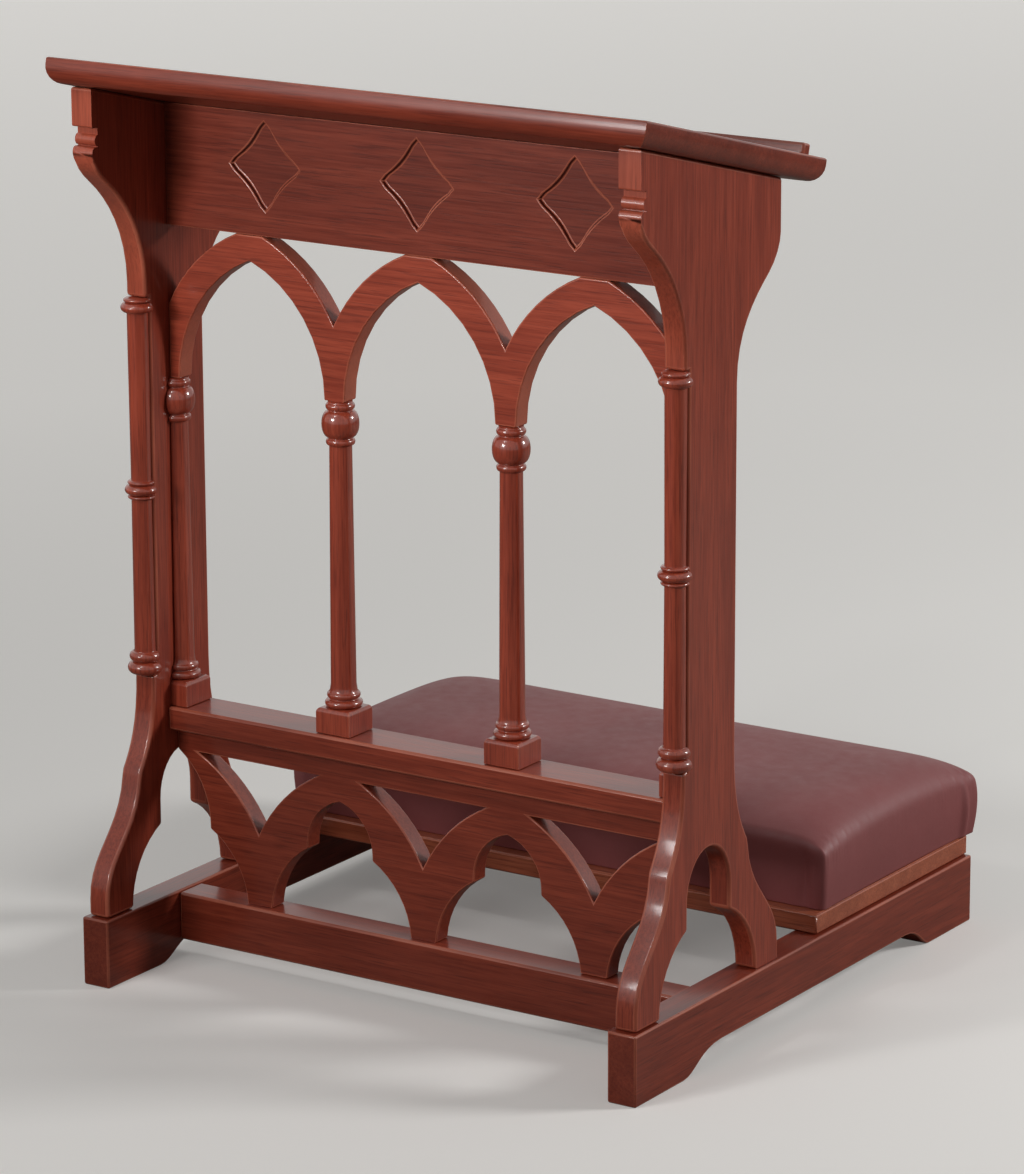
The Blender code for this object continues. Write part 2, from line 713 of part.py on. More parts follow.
def pointed_half(half_span, rise, spring):
    """Right half of a pointed arch about its own axis, from the spring up to the apex."""
    radius, across = pointed_arch(half_span, rise)
    return arc((-across, spring), radius, 0, math.acos(across / radius))


def extrados_half(low, high):
    """Right half of an arch band's outer curve about its own axis, between two heights above the spring."""
    radius, across = pointed_arch(arch_spacing / 2 - UPPER_LEG_WIDTH / 2, ARCH_RISE)
    outer = radius + ARCH_BAND
    return arc((-across, 0), outer, math.asin(low / outer), math.asin(high / outer))


def valley_rise():
    """Height above the spring at which the outer curves of two neighbouring arches meet."""
    radius, across = pointed_arch(arch_spacing / 2 - UPPER_LEG_WIDTH / 2, ARCH_RISE)
    return math.sqrt((radius + ARCH_BAND) ** 2 - (arch_spacing / 2 + across) ** 2)


def arch_axes():
    return [(index - (ARCH_COUNT - 1) / 2) * arch_spacing for index in range(ARCH_COUNT)]


def mirrored(points):
    """The same line seen from the other side, run the same way."""
    return [(-u, v) for u, v in points]


def upper_arcade_outline():
    """Outer curves from left to right along the top, then the openings from right to left."""
    over = extrados_half(valley_rise(), UPPER_ARCADE_HEIGHT)
    under = pointed_half(arch_spacing / 2 - UPPER_LEG_WIDTH / 2, ARCH_RISE, 0)
    loop = [(-half_inner, 0)]
    for axis in arch_axes():
        loop += [(axis + u, v) for u, v in mirrored(over) + over[::-1]]
    loop.append((half_inner, 0))
    for axis in reversed(arch_axes()):
        loop += [(axis + u, v) for u, v in under + flipped(under)]
    return without_repeats([(min(max(u, -half_inner), half_inner), v) for u, v in loop])


def shouldered_half(rise):
    """Right half of a shouldered arch about its own axis: wide shoulder, cusp, and pointed neck."""
    half_span = arch_spacing / 2 - LOWER_LEG_WIDTH / 2
    neck = NECK_WIDTH / 2
    centre = half_span - math.sqrt(SHOULDER_RADIUS ** 2 - SHOULDER_DROP ** 2)
    start = math.asin(SHOULDER_DROP / SHOULDER_RADIUS)
    cusp = math.acos((neck - centre) / SHOULDER_RADIUS)
    shoulder = arc((centre, -SHOULDER_DROP), SHOULDER_RADIUS, start, cusp)
    return shoulder + pointed_half(neck, rise, NECK_SPRING)


def lower_arcade_outline():
    """The board's outer loop: its top, a half arch at the right end, whole arches, and a half arch."""
    whole = shouldered_half(NECK_RISE)
    half = shouldered_half(LOWER_ARCADE_HEIGHT - LOWER_TOP_BAND - NECK_SPRING)
    loop = [(-half_inner, LOWER_ARCADE_HEIGHT), (half_inner, LOWER_ARCADE_HEIGHT)]
    loop += [(half_clear + u, v) for u, v in flipped(half)]
    for index in range(ARCH_COUNT - 1, 0, -1):
        axis = (index - ARCH_COUNT / 2) * arch_spacing
        loop += [(axis + u, v) for u, v in whole + flipped(whole)]
    loop += [(u - half_clear, v) for u, v in half]
    return without_repeats([(min(max(u, -half_inner), half_inner), v) for u, v in loop])


def spandrel(axis):
    """The V-shaped opening over a leg, between the outer curves of the arches beside it."""
    side = extrados_half(valley_rise(), LOWER_ARCADE_HEIGHT - LOWER_TOP_BAND)
    side = [(u - arch_spacing / 2, v) for u, v in side]
    return without_repeats([(axis + u, v) for u, v in side + flipped(side)])


def make_arcade(name, outline, base):
    mesh = outline_mesh(name, outline, ARCADE_THICKNESS)
    return add_part(name, mesh, stained_wood, Matrix.Translation((0, frame_y, base)) @ FACING_FRONT)


def make_lower_arcade():
    arcade = make_arcade("lower_arcade", lower_arcade_outline(), lower_arcade_base)
    for axis in arch_axes():
        waste = outline_mesh("spandrel", spandrel(axis), 2 * ARCADE_THICKNESS)
        combine(arcade, add_cutter("spandrel", waste, arcade.matrix_world), "DIFFERENCE")
    return arcade


# Frieze

def lozenge_reach(angle):
    """How far a lozenge with hollow sides and rounded points reaches at an angle, on a bare scale."""
    spread = [math.hypot(side, LOZENGE_TIP) ** LOZENGE_HOLLOW for side in (math.cos(angle), math.sin(angle))]
    return sum(spread) ** (-1 / LOZENGE_HOLLOW)


def lozenge_outline():
    """A four-pointed lozenge about its own middle."""
    points = []
    for step in range(LOZENGE_STEPS):
        angle = math.tau * step / LOZENGE_STEPS
        reach = lozenge_reach(angle) / lozenge_reach(0) / 2
        points.append((LOZENGE_WIDTH * reach * math.cos(angle), LOZENGE_HEIGHT * reach * math.sin(angle)))
    return points


def lozenge_mesh():
    """The waste of a sunk lozenge, narrower at its floor than at the board's face."""
    mesh = outline_mesh("lozenge", lozenge_outline(), 2 * LOZENGE_DEPTH)
    for vert in mesh.vertices:
        out = Vector((vert.co.x, vert.co.y, 0)).normalized()
        vert.co += out * math.copysign(LOZENGE_SLOPE, vert.co.z)
    return mesh


def make_frieze():
    rear = frieze_front + FRIEZE_THICKNESS
    section = [(frieze_front, frieze_base), (rear, frieze_base), (rear, desk_underside(rear) - CLEARANCE),
               (frieze_front, desk_underside(frieze_front) - CLEARANCE)]
    mesh = outline_mesh("frieze_panel", section, 2 * half_inner)
    frieze = add_part("frieze_panel", mesh, stained_wood, FACING_SIDE)
    for index in range(LOZENGE_COUNT):
        x = (index - (LOZENGE_COUNT - 1) / 2) * LOZENGE_SPACING
        place = Matrix.Translation((x, frieze_front, frieze_base + LOZENGE_LIFT)) @ FACING_FRONT
        combine(frieze, add_cutter(f"lozenge {index + 1}", lozenge_mesh(), place), "DIFFERENCE")
    return frieze


# Rails and flat boards

def make_board(name, low, high, material):
    board = add_part(name, box_mesh(name, low, high), material)
    ease_edges(board, EASED_EDGE)
    return board


def make_middle_rail():
    half = RAIL_DEPTH / 2
    return make_board("middle_rail", (-half_inner, frame_y - half, rail_base),
                      (half_inner, frame_y + half, rail_base + RAIL_THICKNESS), stained_wood)


def make_stretcher():
    end = standard_x - RUNNER_THICKNESS / 2 - CLEARANCE
    half = STRETCHER_DEPTH / 2
    return make_board("bottom_stretcher", (-end, frame_y - half, stretcher_top - STRETCHER_HEIGHT),
                      (end, frame_y + half, stretcher_top), stained_wood)


def make_kneeler_board():
    return make_board("kneeler_board", (-kneeler_half, kneeler_front, kneeler_base),
                      (kneeler_half, kneeler_back, kneeler_top), board_wood)


# Desk, ledge and cleats

def desk_edge():
    """The desk's edge moulding as (inset, depth): a small round, a short band, and a long round under it."""
    turn = DESK_ROUND * (1 - math.sqrt(0.5))
    under = DESK_THICKNESS - DESK_BAND
    long_round = arc((DESK_UNDERCUT, DESK_BAND), DESK_UNDERCUT, math.pi, math.pi / 2, EDGE_STEPS,
                     under / DESK_UNDERCUT)
    return [(DESK_ROUND, 0), (turn, turn), (0, DESK_ROUND)] + long_round


def make_desk():
    """The desk board, grown from its top face down through the steps of its edge moulding."""
    bm = bmesh.new()
    bmesh.ops.create_grid(bm, x_segments=1, y_segments=1, size=0.5)
    face = bm.faces[:][0]
    width, length, depth = 1, 1, 0
    for level, (inset, drop) in enumerate(desk_edge()):
        if level:
            grown = bmesh.ops.extrude_face_region(bm, geom=[face], use_keep_orig=level == 1)["geom"]
            if level > 1 and face.is_valid:
                bmesh.ops.delete(bm, geom=[face], context="FACES_ONLY")
            face = next(item for item in grown if isinstance(item, bmesh.types.BMFace))
        new_width, new_length = 2 * (desk_half - inset), DESK_LENGTH - 2 * inset
        bmesh.ops.scale(bm, vec=(new_width / width, new_length / length, 1), verts=face.verts)
        bmesh.ops.translate(bm, vec=(0, 0, depth - drop), verts=face.verts)
        width, length, depth = new_width, new_length, drop
    bmesh.ops.translate(bm, vec=(0, DESK_LENGTH / 2, 0), verts=bm.verts)
    return add_part("desk_top", mesh_from(bm, "desk_top"), stained_wood, desk_frame())


def ledge_middle():
    """Distance down the slope from the desk's front edge to the middle of the ledge."""
    return DESK_LENGTH - LEDGE_INSET - LEDGE_WIDTH / 2


def ledge_mesh(name, bottom, top, margin=0.0):
    """A strip as long and wide as the ledge, between two heights square to the desk's top."""
    reach = Vector((desk_half - LEDGE_END_INSET + margin, LEDGE_WIDTH / 2 + margin))
    middle = ledge_middle()
    return box_mesh(name, (-reach.x, middle - reach.y, bottom), (reach.x, middle + reach.y, top))


def make_ledge(desk):
    """The ledge, let into a shallow groove in the desk."""
    bottom = CLEARANCE - LEDGE_HOUSING
    ledge = add_part("book_ledge", ledge_mesh("book_ledge", bottom, LEDGE_HEIGHT), stained_wood, desk_frame())
    ease_edges(ledge, EASED_EDGE)
    groove = ledge_mesh("groove", -LEDGE_HOUSING, LEDGE_HEIGHT, CLEARANCE)
    combine(desk, add_cutter("ledge groove", groove, desk_frame()), "DIFFERENCE")
    return ledge


def cleat_start():
    """Distance down the slope at which the cleats clear the frieze's back."""
    lower = DESK_THICKNESS + CLEAT_SIZE + CLEARANCE
    behind = frieze_front + FRIEZE_THICKNESS + CLEAT_GAP - desk_front
    return (behind + lower * math.sin(DESK_SLOPE)) / math.cos(DESK_SLOPE)


def make_cleat(name, side):
    near, far = side * half_inner, side * (half_inner - CLEAT_SIZE)
    top = -DESK_THICKNESS - CLEARANCE
    start = cleat_start()
    mesh = box_mesh(name, (min(near, far), start, top - CLEAT_SIZE),
                    (max(near, far), start + CLEAT_LENGTH, top))
    return add_part(name, mesh, board_wood, desk_frame())


# Kneeling cushion

def pad_box():
    """Half width, front and back of the cushion where it sits on the kneeling board."""
    return (kneeler_half - PAD_SIDE_INSET, kneeler_front + PAD_FRONT_INSET,
            kneeler_back + PAD_BACK_OVERHANG)


def make_pad_base():
    half, front, back = pad_box()
    inset = PAD_BASE_INSET
    mesh = box_mesh("pad_base", (-half + inset, front + inset, pad_base_z),
                    (half - inset, back - inset, pad_base_z + PAD_BASE_THICKNESS))
    return add_part("pad_base", mesh, plywood)


def cell_lines(half):
    """Places of the lines between cells: both edges, their rolls, the crown's shoulders and the middle."""
    inner = [0, half - PAD_SHOULDER, half - PAD_ROLL, half]
    return [-place for place in inner[:0:-1]] + inner


def make_cushion():
    """A crowned pad: sides swell above the board, draw in between the corners, and the corners drop."""
    half, front, back = pad_box()
    half_depth = (back - front) / 2
    bm = bmesh.new()
    bmesh.ops.create_cube(bm, size=2)
    cells = len(cell_lines(half)) - 1
    bmesh.ops.subdivide_edges(bm, edges=bm.edges, cuts=cells - 1, use_grid_fill=True)
    crease = bm.edges.layers.float.new("crease_edge")
    for edge in bm.edges:
        under = [face for face in edge.link_faces if face.normal.z < -0.5]
        if len(under) == 1:
            edge[crease] = 1.0
    for vert in bm.verts:
        lines = [round((step + 1) / 2 * cells) for step in vert.co]
        across = cell_lines(half)[lines[0]] / half
        along = cell_lines(half_depth)[lines[1]] / half_depth
        level = (cell_lines(PAD_EDGE_HEIGHT)[lines[2]] / PAD_EDGE_HEIGHT + 1) / 2
        swell = PAD_BULGE * math.sin(PAD_BULGE_SPAN * math.pi * level)
        crown = PAD_CROWN * (1 - across ** PAD_END_FULLNESS) * (1 - along ** PAD_SIDE_FULLNESS)
        drop = PAD_CORNER_DROP * across ** PAD_END_FULLNESS * along ** 2
        vert.co.x = across * (half + swell - PAD_DRAW_IN * (1 - along ** 2))
        vert.co.y = front + half_depth + along * (half_depth + swell - PAD_DRAW_IN * (1 - across ** 2))
        vert.co.z = pad_base_z + level * (PAD_EDGE_HEIGHT + crown - drop)
    cushion = add_part("pad_cushion", mesh_from(bm, "pad_cushion"), vinyl)
    rounding = cushion.modifiers.new("soft form", "SUBSURF")
    rounding.levels = 1
    rounding.render_levels = 1
    inset = PAD_BASE_INSET - CLEARANCE
    pocket = box_mesh("pocket", (-half + inset, front + inset, pad_base_z - PAD_BASE_THICKNESS),
                      (half - inset, back - inset, pad_base_z + PAD_BASE_THICKNESS + CLEARANCE))
    combine(cushion, add_cutter("pad base pocket", pocket), "DIFFERENCE")
    return cushion


# Where the dowels and screws go

def pair(spacing):
    return -spacing / 2, spacing / 2


def standard_dowel_places():
    leg = (KEYHOLE_SPAN + STANDARD_FOOT_WIDTH) / 4
    return [Pin((side * standard_x, frame_y + end * leg + shift, RUNNER_HEIGHT + CLEARANCE / 2), (0, 0, 1),
                DOWEL_RADIUS, LONG_DOWEL_LENGTH)
            for side in (-1, 1) for end in (-1, 1) for shift in pair(FOOT_DOWEL_SPACING)]


def upper_arcade_end_places():
    level = upper_arcade_base + ARCADE_END_DOWEL_RISE
    return [Pin((side * half_clear, frame_y, level), (1, 0, 0), THIN_DOWEL_RADIUS, THIN_DOWEL_LENGTH)
            for side in (-1, 1)]


def lower_arcade_foot_places():
    level = stretcher_top + CLEARANCE / 2
    return [Pin((axis, frame_y, level), (0, 0, 1), DOWEL_RADIUS, DOWEL_LENGTH) for axis in arch_axes()]


def tenon_places(level, radius):
    """Holes for the whole posts' tenons, about the plane that the posts meet."""
    middle = [(index - ARCH_COUNT / 2) * arch_spacing for index in range(1, ARCH_COUNT)]
    return [Pin((x, frame_y, level), (0, 0, 1), radius, 2 * TENON_LENGTH) for x in middle]


def ledge_dowel_places():
    frame = desk_frame()
    reach = desk_half - LEDGE_END_INSET - LEDGE_DOWEL_MARGIN
    axis = frame.to_3x3() @ Vector((0, 0, 1))
    spots = [-reach + 2 * reach * index / (LEDGE_DOWEL_COUNT - 1) for index in range(LEDGE_DOWEL_COUNT)]
    level = CLEARANCE / 2 - LEDGE_HOUSING
    return [Pin(frame @ Vector((x, ledge_middle(), level)), axis, LEDGE_DOWEL_RADIUS, LEDGE_DOWEL_LENGTH)
            for x in spots]


def cleat_middle():
    return cleat_start() + CLEAT_LENGTH / 2


def desk_screw_places():
    frame = desk_frame()
    axis = frame.to_3x3() @ Vector((0, 0, 1))
    bottom = -DESK_THICKNESS - CLEARANCE - CLEAT_SIZE
    x = half_inner - CLEAT_SIZE / 2
    return [Screw(frame @ Vector((side * x, cleat_middle() + shift, bottom)), axis, CLEAT_SCREW_LENGTH)
            for side in (-1, 1) for shift in pair(DESK_SCREW_SPACING)]


def cleat_screw_places():
    frame = desk_frame()
    level = -DESK_THICKNESS - CLEARANCE - CLEAT_SIZE / 2
    x = half_inner - CLEAT_SIZE
    return [Screw(frame @ Vector((side * x, cleat_middle() + shift, level)), (side, 0, 0), CLEAT_SCREW_LENGTH)
            for side in (-1, 1) for shift in pair(CLEAT_SCREW_SPACING)]


def board_screw_places():
    middle = kneeler_back - KNEELER_DEPTH / 2
    rows = (kneeler_front + BOARD_SCREW_MARGIN, middle, kneeler_back - BOARD_SCREW_MARGIN)
    return [Screw((side * standard_x, y, kneeler_top), (0, 0, -1), BOARD_SCREW_LENGTH)
            for side in (-1, 1) for y in rows]


def pad_screw_places():
    half, front, back = pad_box()
    rows = (front + PAD_SCREW_MARGIN, back - PAD_SCREW_MARGIN)
    return [Screw((side * (half - PAD_SCREW_MARGIN), y, kneeler_base), (0, 0, 1), PAD_SCREW_LENGTH)
            for side in (-1, 1) for y in rows]


# The object, put together from the floor up

clear_scene()
parts = new_collection("prayer_kneeler")
cutters = new_collection("cutters")
stained_wood = finish("stained_wood", (0.24, 0.047, 0.028), 0.30)
board_wood = finish("board_wood", (0.37, 0.095, 0.045), 0.40)
plywood = finish("plywood", (0.52, 0.37, 0.21), 0.65)
vinyl = finish("brown_vinyl", (0.115, 0.050, 0.048), 0.45)
beech = finish("beech", (0.56, 0.38, 0.22), 0.60)
steel = finish("screw_steel", (0.55, 0.54, 0.52), 0.35, 1.0)

runners = [make_runner("left_runner", -standard_x), make_runner("right_runner", standard_x)]
standards = [make_standard("left_standard", -standard_x), make_standard("right_standard", standard_x)]
make_column("left_front_column", -standard_x)
make_column("right_front_column", standard_x)
stretcher = make_stretcher()
lower_arcade = make_lower_arcade()
rail = make_middle_rail()
make_post("left_half_colonette", -half_clear, 1)
make_post("inner_left_colonette", -arch_spacing / 2, 0)
make_post("inner_right_colonette", arch_spacing / 2, 0)
make_post("right_half_colonette", half_clear, -1)
upper_arcade = make_arcade("upper_arcade", upper_arcade_outline(), upper_arcade_base)
frieze = make_frieze()
desk = make_desk()
ledge = make_ledge(desk)
cleats = [make_cleat("left_desk_cleat", -1), make_cleat("right_desk_cleat", 1)]
kneeler_board = make_kneeler_board()
pad_base = make_pad_base()
make_cushion()

# Mortise and tenon joints
stretcher_middle = (0, frame_y, stretcher_top - STRETCHER_HEIGHT / 2)
rail_middle = (0, frame_y, rail_base + RAIL_THICKNESS / 2)
frieze_middle = (0, frame_y, frieze_base + FRIEZE_HEIGHT / 2)
join_with_tenons(stretcher, runners, standard_x - RUNNER_THICKNESS / 2, stretcher_middle, STRETCHER_TENON)
join_with_tenons(rail, standards, half_clear, rail_middle, RAIL_TENON)
join_with_tenons(frieze, standards, half_clear, frieze_middle, FRIEZE_TENON)
drill(rail, tenon_places(rail_base + RAIL_THICKNESS, BOTTOM_TENON_RADIUS), TURNING_SIDES)
drill(upper_arcade, tenon_places(upper_arcade_base, TOP_TENON_RADIUS), TURNING_SIDES)

# Dowels and the holes that they sit in
dowel_joints = {
    "standard_dowel": (standard_dowel_places(), runners + standards),
    "upper_arcade_dowel": (upper_arcade_end_places(), standards + [upper_arcade]),
    "lower_arcade_dowel": (lower_arcade_foot_places(), [stretcher, lower_arcade]),
    "ledge_dowel": (ledge_dowel_places(), [desk, ledge]),
}
for name, (pins, pieces) in dowel_joints.items():
    for number, pin in enumerate(pins, 1):
        add_part(f"{name}_{number}", pin_mesh(name, pin), beech)
    for piece in pieces:
        drill(piece, [pin for pin in pins if on_its_side(piece, pin.centre[0])])

# Screws and their holes
screw_joints = {
    "desk_screw": (desk_screw_places(), cleats + [desk]),
    "cleat_screw": (cleat_screw_places(), cleats + standards),
    "board_screw": (board_screw_places(), runners + [kneeler_board]),
    "pad_screw": (pad_screw_places(), [kneeler_board, pad_base]),
}
for name, (screws, pieces) in screw_joints.items():
    for number, screw in enumerate(screws, 1):
        add_part(f"{name}_{number}", screw_mesh(name, screw), steel)
    for piece in pieces:
        drill_for_screws(piece, [screw for screw in screws if on_its_side(piece, screw.head[0])])
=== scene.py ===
"""Prayer kneeler in red-stained, lacquered wood with a padded vinyl kneeling cushion.

The sections follow the kneeler as it is put together, from the runners on the floor up to the book desk, and
then the kneeling board and its cushion. Metres, +Z up, the desk towards -Y.
"""
import math

import bmesh
import bpy
from mathutils import Matrix, Vector


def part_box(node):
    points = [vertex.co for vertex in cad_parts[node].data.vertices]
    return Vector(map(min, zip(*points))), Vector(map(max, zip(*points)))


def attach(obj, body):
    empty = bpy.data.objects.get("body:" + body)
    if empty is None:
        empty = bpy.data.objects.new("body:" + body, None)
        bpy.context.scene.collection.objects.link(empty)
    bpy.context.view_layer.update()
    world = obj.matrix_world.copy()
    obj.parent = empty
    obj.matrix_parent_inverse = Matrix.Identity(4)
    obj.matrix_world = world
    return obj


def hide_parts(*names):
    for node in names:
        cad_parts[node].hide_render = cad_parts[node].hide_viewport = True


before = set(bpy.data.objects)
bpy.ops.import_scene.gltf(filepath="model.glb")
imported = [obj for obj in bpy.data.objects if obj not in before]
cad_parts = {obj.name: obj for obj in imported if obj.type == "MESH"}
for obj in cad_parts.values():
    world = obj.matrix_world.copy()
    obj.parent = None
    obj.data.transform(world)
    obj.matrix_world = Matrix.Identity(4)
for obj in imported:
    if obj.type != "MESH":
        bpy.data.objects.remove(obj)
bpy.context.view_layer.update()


# Runners
# Two floor rails sawn from thick board with scalloped undersides, stained and lacquered like the whole frame.
# The standards are dowelled into them, the stretcher is tenoned between them.

STAIN_DARK = (0.165, 0.0200, 0.0095)
STAIN_LIGHT = (0.365, 0.0620, 0.0300)
STAIN_PORE = (0.060, 0.0090, 0.0060)
# Paler colour for rubbed arrises and for the painted light on sawn edges.
STAIN_RUBBED_AND_LIT = (0.520, 0.150, 0.085)
# Painted shade for the lozenges' recessed faces.
RECESS_PAINTED_SHADE = (0.050, 0.0070, 0.0050)
FIGURE_SHIFT = (0.37, 0.61, 0.23)
FIGURE_STRETCH = 0.07
FIBRE_STRETCH = 0.03
PORE_SHARE = 0.40
CLOUD_SHADE = 0.85
MERGE = 0.00002
FLAT_TURN = math.radians(0.8)
RUNNER_EASE = 0.0020
BOARD_EASE = 0.0015
SMALL_DETAIL = 0.0036
SHARP_TURN = math.radians(38)
EASE_STEPS = 3
SAWN_SQUARE = 0.1
# Painted light: above this height the sawn edges of the standards and arches are painted paler.
PAINTED_LIGHT_FROM = 0.50


def texture(tree, kind, vector, **sizes):
    """A texture node that reads the given coordinates."""
    node = tree.nodes.new(kind)
    for socket, value in sizes.items():
        node.inputs[socket.replace("_", " ")].default_value = value
    tree.links.new(vector, node.inputs["Vector"])
    return node


def stops(tree, value, *marks):
    """A ramp through (place, grey) marks."""
    node = tree.nodes.new("ShaderNodeValToRGB")
    ramp = node.color_ramp
    while len(ramp.elements) < len(marks):
        ramp.elements.new(0.5)
    for element, (place, grey) in zip(ramp.elements, marks):
        element.position = place
        element.color = (grey, grey, grey, 1)
    tree.links.new(value, node.inputs["Fac"])
    return node.outputs["Color"]


def blended(tree, share, first, second, how="MIX"):
    """Two colours mixed; the share and each colour may be a number, a colour or another node's output."""
    node = tree.nodes.new("ShaderNodeMix")
    node.data_type = "RGBA"
    node.blend_type = how
    for socket, value in zip((node.inputs[0], node.inputs[6], node.inputs[7]), (share, first, second)):
        if isinstance(value, bpy.types.NodeSocket):
            tree.links.new(value, socket)
        elif isinstance(value, tuple):
            socket.default_value = (*value, 1)
        else:
            socket.default_value = value
    return node.outputs[2]


def number(tree, how, first, second):
    """One sum of two values, each a number or another node's output."""
    node = tree.nodes.new("ShaderNodeMath")
    node.operation = how
    for socket, value in zip(node.inputs, (first, second)):
        if isinstance(value, bpy.types.NodeSocket):
            tree.links.new(value, socket)
        else:
            socket.default_value = value
    return node.outputs[0]


def marked(tree, name):
    """How far a face is marked with an attribute, from 0 to 1."""
    node = tree.nodes.new("ShaderNodeAttribute")
    node.attribute_name = name
    return node.outputs["Fac"]


def mapped(tree, offset, scale):
    """Object coordinates, shifted so that no two pieces share a figure, and scaled along the grain."""
    place = tree.nodes.new("ShaderNodeTexCoord")
    mapping = tree.nodes.new("ShaderNodeMapping")
    mapping.inputs["Location"].default_value = offset
    mapping.inputs["Scale"].default_value = scale
    tree.links.new(place.outputs["Object"], mapping.inputs["Vector"])
    return mapping.outputs["Vector"]


def stained_wood(name, grain, seed, tone=1.0, dark=STAIN_DARK, light=STAIN_LIGHT, coat=0.42, haze=0.11):
    """Open-pored wood under a red-brown stain and gloss lacquer, its grain along "X", "Y" or "Z".

    The tone is how much of the colour's brightness a piece keeps: partly the board's own take of the stain,
    partly painted shade, set lower on the boards near the floor, on the desk and on the frieze. The coat is the
    share of lacquer left on it, and the haze how far handling has blurred its gloss.
    """
    material = bpy.data.materials.new(name)
    material.use_nodes = True
    tree = material.node_tree
    shader = tree.nodes["Principled BSDF"]
    offset = tuple(shift * seed for shift in FIGURE_SHIFT)
    stretched = tuple(FIGURE_STRETCH if axis == grain else 1.0 for axis in "XYZ")
    long_drawn = tuple(FIBRE_STRETCH if axis == grain else 1.0 for axis in "XYZ")
    along = mapped(tree, offset, stretched)
    fine = mapped(tree, offset, long_drawn)
    plain = mapped(tree, offset, (1.0, 1.0, 1.0))
    figure = texture(tree, "ShaderNodeTexNoise", along, Scale=46.0, Detail=4.0, Roughness=0.6, Distortion=0.6)
    fibre = texture(tree, "ShaderNodeTexNoise", fine, Scale=420.0, Detail=4.0, Roughness=0.65)
    pore = texture(tree, "ShaderNodeTexNoise", fine, Scale=900.0, Detail=2.0, Roughness=0.5)
    cloud = texture(tree, "ShaderNodeTexNoise", plain, Scale=9.0, Detail=3.0, Roughness=0.5)
    pores = stops(tree, pore.outputs["Fac"], (0.56, 0.0), (0.66, 1.0))
    colour = blended(tree, stops(tree, figure.outputs["Fac"], (0.30, 0.40), (0.70, 1.0)), dark, light)
    colour = blended(tree, stops(tree, fibre.outputs["Fac"], (0.36, 0.60), (0.60, 0.0)), colour, dark)
    colour = blended(tree, number(tree, "MULTIPLY", pores, PORE_SHARE), colour, STAIN_PORE)
    shade = stops(tree, cloud.outputs["Fac"], (0.30, CLOUD_SHADE * tone), (0.72, tone))
    colour = blended(tree, 1.0, colour, shade, "MULTIPLY")
    # Marked faces turn paler: rubbed arrises, and painted light on the sawn edges.
    rubbed_and_lit = stops(tree, cloud.outputs["Fac"], (0.35, 0.15), (0.65, 0.60))
    colour = blended(tree, number(tree, "MULTIPLY", marked(tree, "wear_and_light"), rubbed_and_lit), colour, STAIN_RUBBED_AND_LIT)
    # Painted shade: faces marked in the lozenge recesses are darkened.
    colour = blended(tree, marked(tree, "painted_recess_shade"), colour, RECESS_PAINTED_SHADE)
    tree.links.new(colour, shader.inputs["Base Color"])
    gloss = blended(tree, fibre.outputs["Fac"], (0.28, 0.28, 0.28), (0.42, 0.42, 0.42))
    tree.links.new(gloss, shader.inputs["Roughness"])
    shader.inputs["Coat Weight"].default_value = coat
    shader.inputs["Coat Roughness"].default_value = haze
    shader.inputs["Specular IOR Level"].default_value = 0.24
    bump = tree.nodes.new("ShaderNodeBump")
    bump.invert = True
    bump.inputs["Strength"].default_value = 0.12
    bump.inputs["Distance"].default_value = 0.0002
    tree.links.new(number(tree, "ADD", pores, fibre.outputs["Fac"]), bump.inputs["Height"])
    tree.links.new(bump.outputs["Normal"], shader.inputs["Normal"])
    return material


def add_piece(name, bm, material, slot, *nodes):
    """Turn a finished bmesh into a piece of the kneeler that stands for CAD nodes."""
    mesh = bpy.data.meshes.new(name)
    bm.to_mesh(mesh)
    bm.free()
    mesh.materials.append(material)
    mesh.shade_smooth()
    piece = bpy.data.objects.new(name, mesh)
    bpy.context.scene.collection.objects.link(piece)
    even = piece.modifiers.new("even shading", "WEIGHTED_NORMAL")
    even.weight = 60
    even.keep_sharp = True
    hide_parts(*nodes)
    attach(piece, "root")
    return piece


def whole_copy(node):
    """A CAD node's mesh with its triangles joined up and its flat faces made whole again."""
    bm = bmesh.new()
    bm.from_mesh(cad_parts[node].data)
    bmesh.ops.remove_doubles(bm, verts=bm.verts, dist=MERGE)
    bmesh.ops.dissolve_limit(bm, angle_limit=FLAT_TURN, verts=bm.verts, edges=bm.edges)
    return bm


def sharp_edges(bm, least_length=0.0):
    """The edges of a closed shape that turn sharply and are longer than a detail that stays crisp."""
    return [edge for edge in bm.edges if edge.is_manifold and edge.calc_length() > least_length
            and edge.calc_face_angle() > SHARP_TURN]


def ease_arrises(bm, arrises, width, clamp=True):
    """Round arrises as sandpaper does and mark them for the wear in the stain; the other edges stay crisp."""
    wear_and_light = bm.faces.layers.float.new("wear_and_light")
    made = bmesh.ops.bevel(bm, geom=arrises, offset=width, offset_type="OFFSET", segments=EASE_STEPS, profile=0.5,
                           affect="EDGES", material=-1, clamp_overlap=clamp)
    for face in made["faces"]:
        face[wear_and_light] = 1.0
    for edge in sharp_edges(bm):
        edge.smooth = False


def on_outline(edge, node, axis):
    """Whether an edge borders a face that runs through the whole thickness of a board, clear of small details."""
    low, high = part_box(node)
    roomy = all(near.calc_length() > SMALL_DETAIL for vert in edge.verts for near in vert.link_edges)
    spans = [[vert.co[axis] for vert in face.verts] for face in edge.link_faces]
    return roomy and any(min(span) < low[axis] + MERGE and max(span) > high[axis] - MERGE for span in spans)


